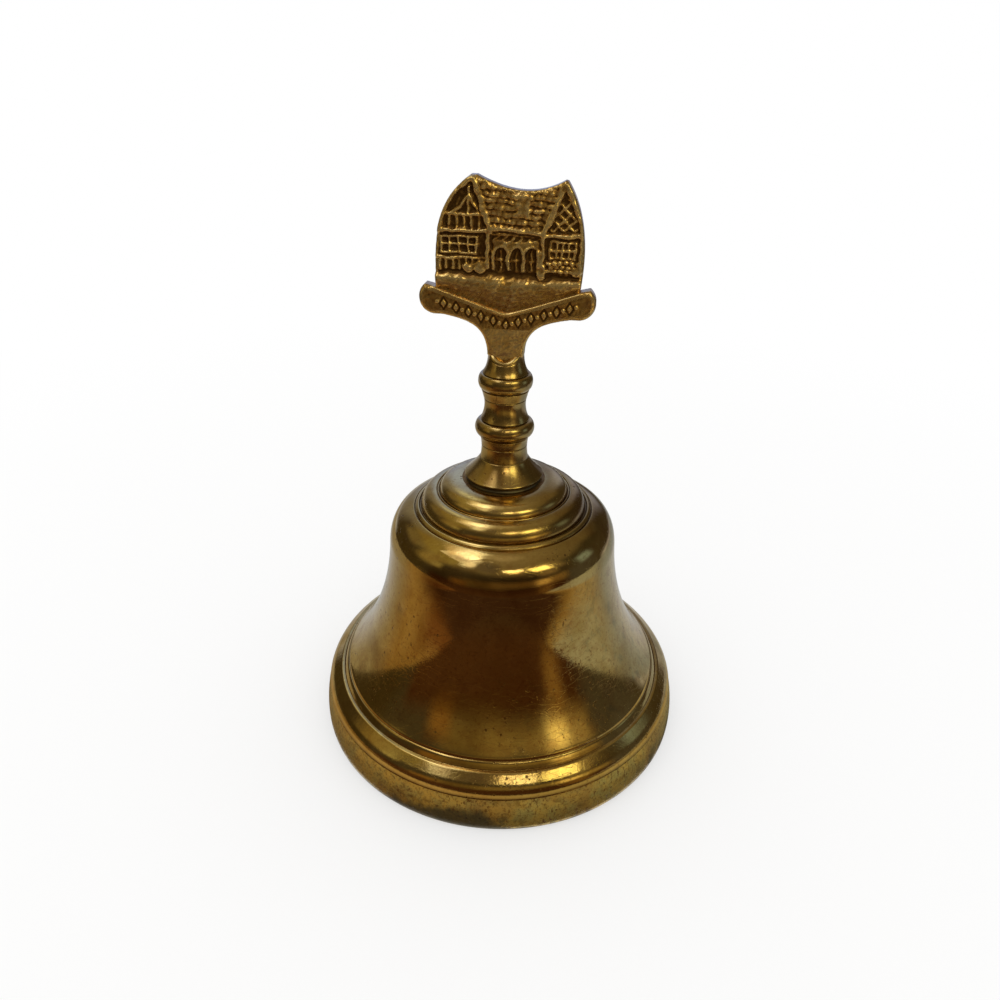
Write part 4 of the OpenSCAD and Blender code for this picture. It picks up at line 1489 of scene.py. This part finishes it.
def floor_material():
    """A pale floor that keeps a soft shadow close to the object and runs out to white."""
    finish = Finish("studio_floor")
    x, y, _ = finish.split(finish.place())
    radius = (x * x + y * y) ** 0.5
    paper = finish.node("ShaderNodeBsdfDiffuse", values={"Color": (0.93, 0.93, 0.93, 1.0)})
    white = finish.node("ShaderNodeEmission", values={"Color": (1.0, 1.0, 1.0, 1.0), "Strength": 1.0})
    share = 0.50 + 0.50 * radius.rise(0.08, 0.32)
    return finish.end(finish.node("ShaderNodeMixShader", values={0: share, 1: paper, 2: white}))


# Soft bright and warm places in the room that the polished brass mirrors:
# azimuth and elevation of the middle, half widths, softness, all in degrees, then the colour
ROOM_PLACES = [
    (0, 90, 180, 55, 10, (0.19, 0.155, 0.080)),
    (0, 90, 180, 28, 10, (0.28, 0.235, 0.135)),
    (0, 90, 180, 9, 6, (0.46, 0.41, 0.28)),
    (-100, 49, 48, 12, 9, (0.32, 0.26, 0.085)),
    (-112, 32, 14, 8, 6, (0.23, 0.19, 0.09)),
    (32, 46, 36, 12, 9, (0.33, 0.27, 0.14)),
    (96, 35, 26, 9, 8, (0.060, 0.050, 0.026)),
    (-18, 57, 12, 12, 8, (0.15, 0.12, 0.075)),
    (0, -8, 66, 9, 4, (0.074, 0.032, 0.011)),
    (-100, 2, 26, 11, 7, (0.062, 0.046, 0.017)),
    (-75, 28, 13, 13, 8, (0.32, 0.25, 0.09)),
    (-63, 23, 4, 6, 4, (0.50, 0.46, 0.20)),
    (-154, 18, 17, 36, 9, (0.27, 0.27, 0.26)),
    (-150, -8, 22, 6, 5, (0.55, 0.60, 0.70)),
    (76, 2, 18, 12, 7, (0.085, 0.078, 0.060)),
    (124, -9, 20, 5, 4, (0.46, 0.48, 0.55)),
    (86, 22, 8, 8, 5, (0.27, 0.36, 0.38)),
    (-16, 8, 18, 7, 6, (0.17, 0.12, 0.038)),
    (12, 9, 22, 6, 5, (0.29, 0.22, 0.080)),
    (-37, 4, 7, 5, 5, (0.25, 0.135, 0.032)),
    (43, 8, 15, 7, 6, (0.40, 0.30, 0.115)),
    (38, -5, 6, 8, 5, (0.23, 0.13, 0.035)),
    (36, 8, 6, 4, 5, (1.5, 1.25, 0.50)),
    (43, 27, 9, 5, 6, (0.36, 0.28, 0.14)),
    (43, 43, 12, 7, 3, (3.3, 3.2, 1.5)),
    (13, 44, 6, 5, 3, (2.0, 1.6, 0.70)),
    (-115, 63, 28, 3, 4, (0.90, 0.78, 0.44)),
    (-104, 73, 42, 7, 4, (2.1, 2.2, 2.1)),
    (-44, 55, 8, 8, 5, (1.5, 1.5, 1.25)),
    (-156, 50, 8, 10, 7, (0.9, 1.0, 0.9)),
    (-172, 24, 15, 18, 9, (0.42, 0.56, 1.0)),
    (158, 20, 10, 14, 8, (0.38, 0.43, 0.65)),
]
ROOM_DARK = (0.070, 0.056, 0.030)
# Height of the room's middle in metres
ROOM_CENTRE_Z = 0.03
# Strips round the mirrored room and table
ROOM_COLUMNS = 96


def room_material():
    """What the brass mirrors: a dim warm room with a few soft bright places."""
    finish = Finish("mirrored_room")
    x, y, z = finish.split(finish.place())
    degrees = 180 / math.pi
    azimuth = finish.maths("ARCTAN2", x, y * -1.0) * degrees
    elevation = finish.maths("ARCTAN2", z - ROOM_CENTRE_Z, (x * x + y * y) ** 0.5) * degrees
    shade = ROOM_DARK
    for middle, rise, half, tall, soft, tint in ROOM_PLACES:
        mask = abs(elevation - rise).rise(tall + soft, max(tall - soft, 0))
        if half < 180:
            turned = finish.maths("WRAP", azimuth - middle, 180.0, -180.0)
            mask = abs(turned).rise(half + soft, max(half - soft, 0)) * mask
        shade = finish.blend(mask, shade, tint)
    return finish.glow(shade)


# Colours of the mirrored table on its left and right side: open, behind the object and close to it
TABLE_OPEN = ((0.36, 0.235, 0.080), (0.39, 0.40, 0.33))
TABLE_BEHIND = ((0.36, 0.32, 0.21), (0.30, 0.34, 0.37))
TABLE_CLOSE = ((0.50, 0.37, 0.17), (0.52, 0.46, 0.24))
TABLE_LEFT_FRONT = (0.19, 0.083, 0.025)
TABLE_RIGHT_FRONT = (0.40, 0.28, 0.10)
TABLE_BACK = (0.52, 0.53, 0.52)
TABLE_SHADED = (0.058, 0.026, 0.012)
TABLE_UNDER_RIM = (0.075, 0.045, 0.018)


def table_material():
    """The table top that the brass mirrors: shaded in front of the bell and close to it."""
    finish = Finish("mirrored_table")
    x, y, _ = finish.split(finish.place())
    radius = (x * x + y * y) ** 0.5
    side = abs(x + 0.002)
    left = x.rise(0.02, -0.02)

    def two_sided(colours):
        """The first of two colours on the left and the second on the right."""
        return finish.blend(left, colours[1], colours[0])

    behind = y.rise(-0.012, 0.030)
    left_front = left * y.rise(-0.015, -0.058) * side.rise(0.130, 0.082)
    right_front = (1 - left) * side.rise(0.092, 0.074) * (1 - behind)
    pale = finish.blend(left_front, two_sided(TABLE_OPEN), TABLE_LEFT_FRONT)
    pale = finish.blend(right_front, pale, TABLE_RIGHT_FRONT)
    pale = finish.blend(behind, pale, two_sided(TABLE_BEHIND))
    pale = finish.blend(behind * side.rise(0.082, 0.042), pale, TABLE_BACK)
    open_side = side.rise(0.062, 0.080)
    lit = 1 - (1 - open_side) * y.rise(0.010, -0.030)
    near = radius.rise(0.074, 0.058)
    shade = finish.blend(lit, TABLE_SHADED, pale)
    shade = finish.blend(near * y.rise(0.020, -0.010), shade, two_sided(TABLE_CLOSE))
    shade = finish.blend(radius.rise(0.046, 0.037) * 0.6, shade, TABLE_UNDER_RIM)
    return finish.glow(shade)


def wall_distance(azimuth):
    """Distance from the axis to the edge of the mirrored table, in metres."""
    wide, deep, back, power = 0.175, 0.155, 0.060, 4.0
    near, far, halvings = 0.0, 1.0, 40
    for _ in range(halvings):
        middle = (near + far) / 2
        x, y = middle * math.sin(azimuth), -middle * math.cos(azimuth) - back
        if abs(x / wide) ** power + abs(y / deep) ** power < 1:
            near = middle
        else:
            far = middle
    return near


def room_mesh():
    """A dish round the object: close and low at its sides, wide open above."""
    columns, rows, ceiling = ROOM_COLUMNS, 44, 1.5
    steep, opens_at, wide_open_at = 89.5, 30.0, 46.0
    points = []
    for i in range(columns):
        azimuth = 2 * math.pi * i / columns
        wall = wall_distance(azimuth)
        lowest = -math.atan2(ROOM_CENTRE_Z, wall)
        for j in range(rows + 1):
            elevation = lowest + (math.radians(steep) - lowest) * j / rows
            opening = step_up(math.degrees(elevation), opens_at, wide_open_at)
            reach = wall * (ceiling / wall) ** opening
            if opening == 0:
                level = wall
                height = ROOM_CENTRE_Z + wall * math.tan(elevation)
            else:
                level = reach * math.cos(elevation) / math.cos(math.radians(opens_at)) ** (1 - opening)
                height = ROOM_CENTRE_Z + level * math.tan(elevation)
            points.append((level * math.sin(azimuth), -level * math.cos(azimuth), height))
    faces = []
    for i in range(columns):
        a, b = i * (rows + 1), (i + 1) % columns * (rows + 1)
        faces.extend([a + j, b + j, b + j + 1, a + j + 1] for j in range(rows))
    return points, faces


def table_mesh():
    """A flat ring from the rim to the edge of the mirrored table."""
    inner_r, height = 0.0364, 0.0003
    columns = ROOM_COLUMNS
    angles = [2 * math.pi * i / columns for i in range(columns)]
    reaches = [inner_r] * columns + [wall_distance(a) for a in angles]
    points = [(r * math.sin(a), -r * math.cos(a), height) for r, a in zip(reaches, angles * 2)]
    faces = [[i, columns + i, columns + (i + 1) % columns, (i + 1) % columns] for i in range(columns)]
    return points, faces


# Azimuth and elevation in degrees, width and height in metres, brightness and colour of each lamp
LAMPS = [
    ("lamp_near", 13, 47.5, 0.22, 0.10, 2.7, (1.0, 0.96, 0.66)),
    ("lamp_left", -75, 66, 0.36, 0.30, 0.6, (1.0, 0.98, 0.92)),
]
LAMP_DISTANCE = 0.75


def add_lamp(name, azimuth, elevation, wide, tall, radiance, tint):
    """A rectangular lamp that faces the object."""
    data = bpy.data.lights.new(name, "AREA")
    data.shape = "RECTANGLE"
    data.size = wide
    data.size_y = tall
    data.energy = radiance * math.pi * wide * tall
    data.color = tint
    lamp = bpy.data.objects.new(name, data)
    bpy.context.scene.collection.objects.link(lamp)
    a, e = math.radians(azimuth) + VIEW_YAW, math.radians(elevation)
    away = Vector((math.sin(a) * math.cos(e), -math.cos(a) * math.cos(e), math.sin(e)))
    lamp.location = away * LAMP_DISTANCE + Vector((0, 0, ROOM_CENTRE_Z))
    lamp.rotation_mode = "QUATERNION"
    lamp.rotation_quaternion = away.to_track_quat("Z", "Y")
    lamp.visible_camera = False


class TABLEBELL_OT_studio(bpy.types.Operator):
    """Set up the floor, the light and the camera"""

    bl_idname = "table_bell.studio"
    bl_label = "Studio"

    def execute(self, context):
        scene = context.scene
        scene.view_settings.view_transform = "Standard"
        world = bpy.data.worlds.new("plain_white")
        world.use_nodes = True
        background = world.node_tree.nodes["Background"]
        background.inputs["Color"].default_value = (1.0, 1.0, 1.0, 1.0)
        background.inputs["Strength"].default_value = 1.0
        scene.world = world
        reach, height = 40.0, -0.0002
        around = ((-reach, -reach), (reach, -reach), (reach, reach), (-reach, reach))
        square = [(x, y, height) for x, y in around]
        everything = ("camera", "diffuse", "glossy", "transmission", "shadow")
        stage_object("floor", square, [[0, 1, 2, 3]], floor_material(), everything)
        room = stage_object("mirrored_room", *room_mesh(), room_material(), ("glossy",))
        table = stage_object("mirrored_table", *table_mesh(), table_material(), ("glossy",))
        for surface in (room, table):
            surface.rotation_euler = (0, 0, VIEW_YAW)
        for lamp in LAMPS:
            add_lamp(*lamp)
        add_camera(scene)
        return {"FINISHED"}


class TABLEBELL_PT_sidebar(bpy.types.Panel):
    """Sizes, colours and makers of the table bell"""

    bl_idname = "TABLEBELL_PT_sidebar"
    bl_label = "Table bell"
    bl_space_type = "VIEW_3D"
    bl_region_type = "UI"
    bl_category = "Table bell"

    def draw(self, context):
        for group in (context.scene.table_bell_sizes, context.scene.table_bell_colours):
            column = self.layout.column(align=True)
            for key in group.__annotations__:
                column.prop(group, key)
        for maker in MAKERS:
            self.layout.operator(maker.bl_idname)


MAKERS = (
    TABLEBELL_OT_studio,
    TABLEBELL_OT_bell,
    TABLEBELL_OT_stem,
    TABLEBELL_OT_banner,
    TABLEBELL_OT_plaque,
    TABLEBELL_OT_fixings,
    TABLEBELL_OT_clapper,
)
CLASSES = (TableBellSizes, TableBellColours, *MAKERS, TABLEBELL_PT_sidebar)


def register():
    for item in CLASSES:
        bpy.utils.register_class(item)
    bpy.types.Scene.table_bell_sizes = PointerProperty(type=TableBellSizes)
    bpy.types.Scene.table_bell_colours = PointerProperty(type=TableBellColours)


def unregister():
    del bpy.types.Scene.table_bell_colours
    del bpy.types.Scene.table_bell_sizes
    for item in reversed(CLASSES):
        bpy.utils.unregister_class(item)


def main():
    register()
    bpy.ops.table_bell.studio()
    bpy.ops.table_bell.bell()
    bpy.ops.table_bell.stem()
    bpy.ops.table_bell.banner()
    bpy.ops.table_bell.plaque()
    bpy.ops.table_bell.fixings()
    bpy.ops.table_bell.clapper()


if __name__ == "__main__":
    main()
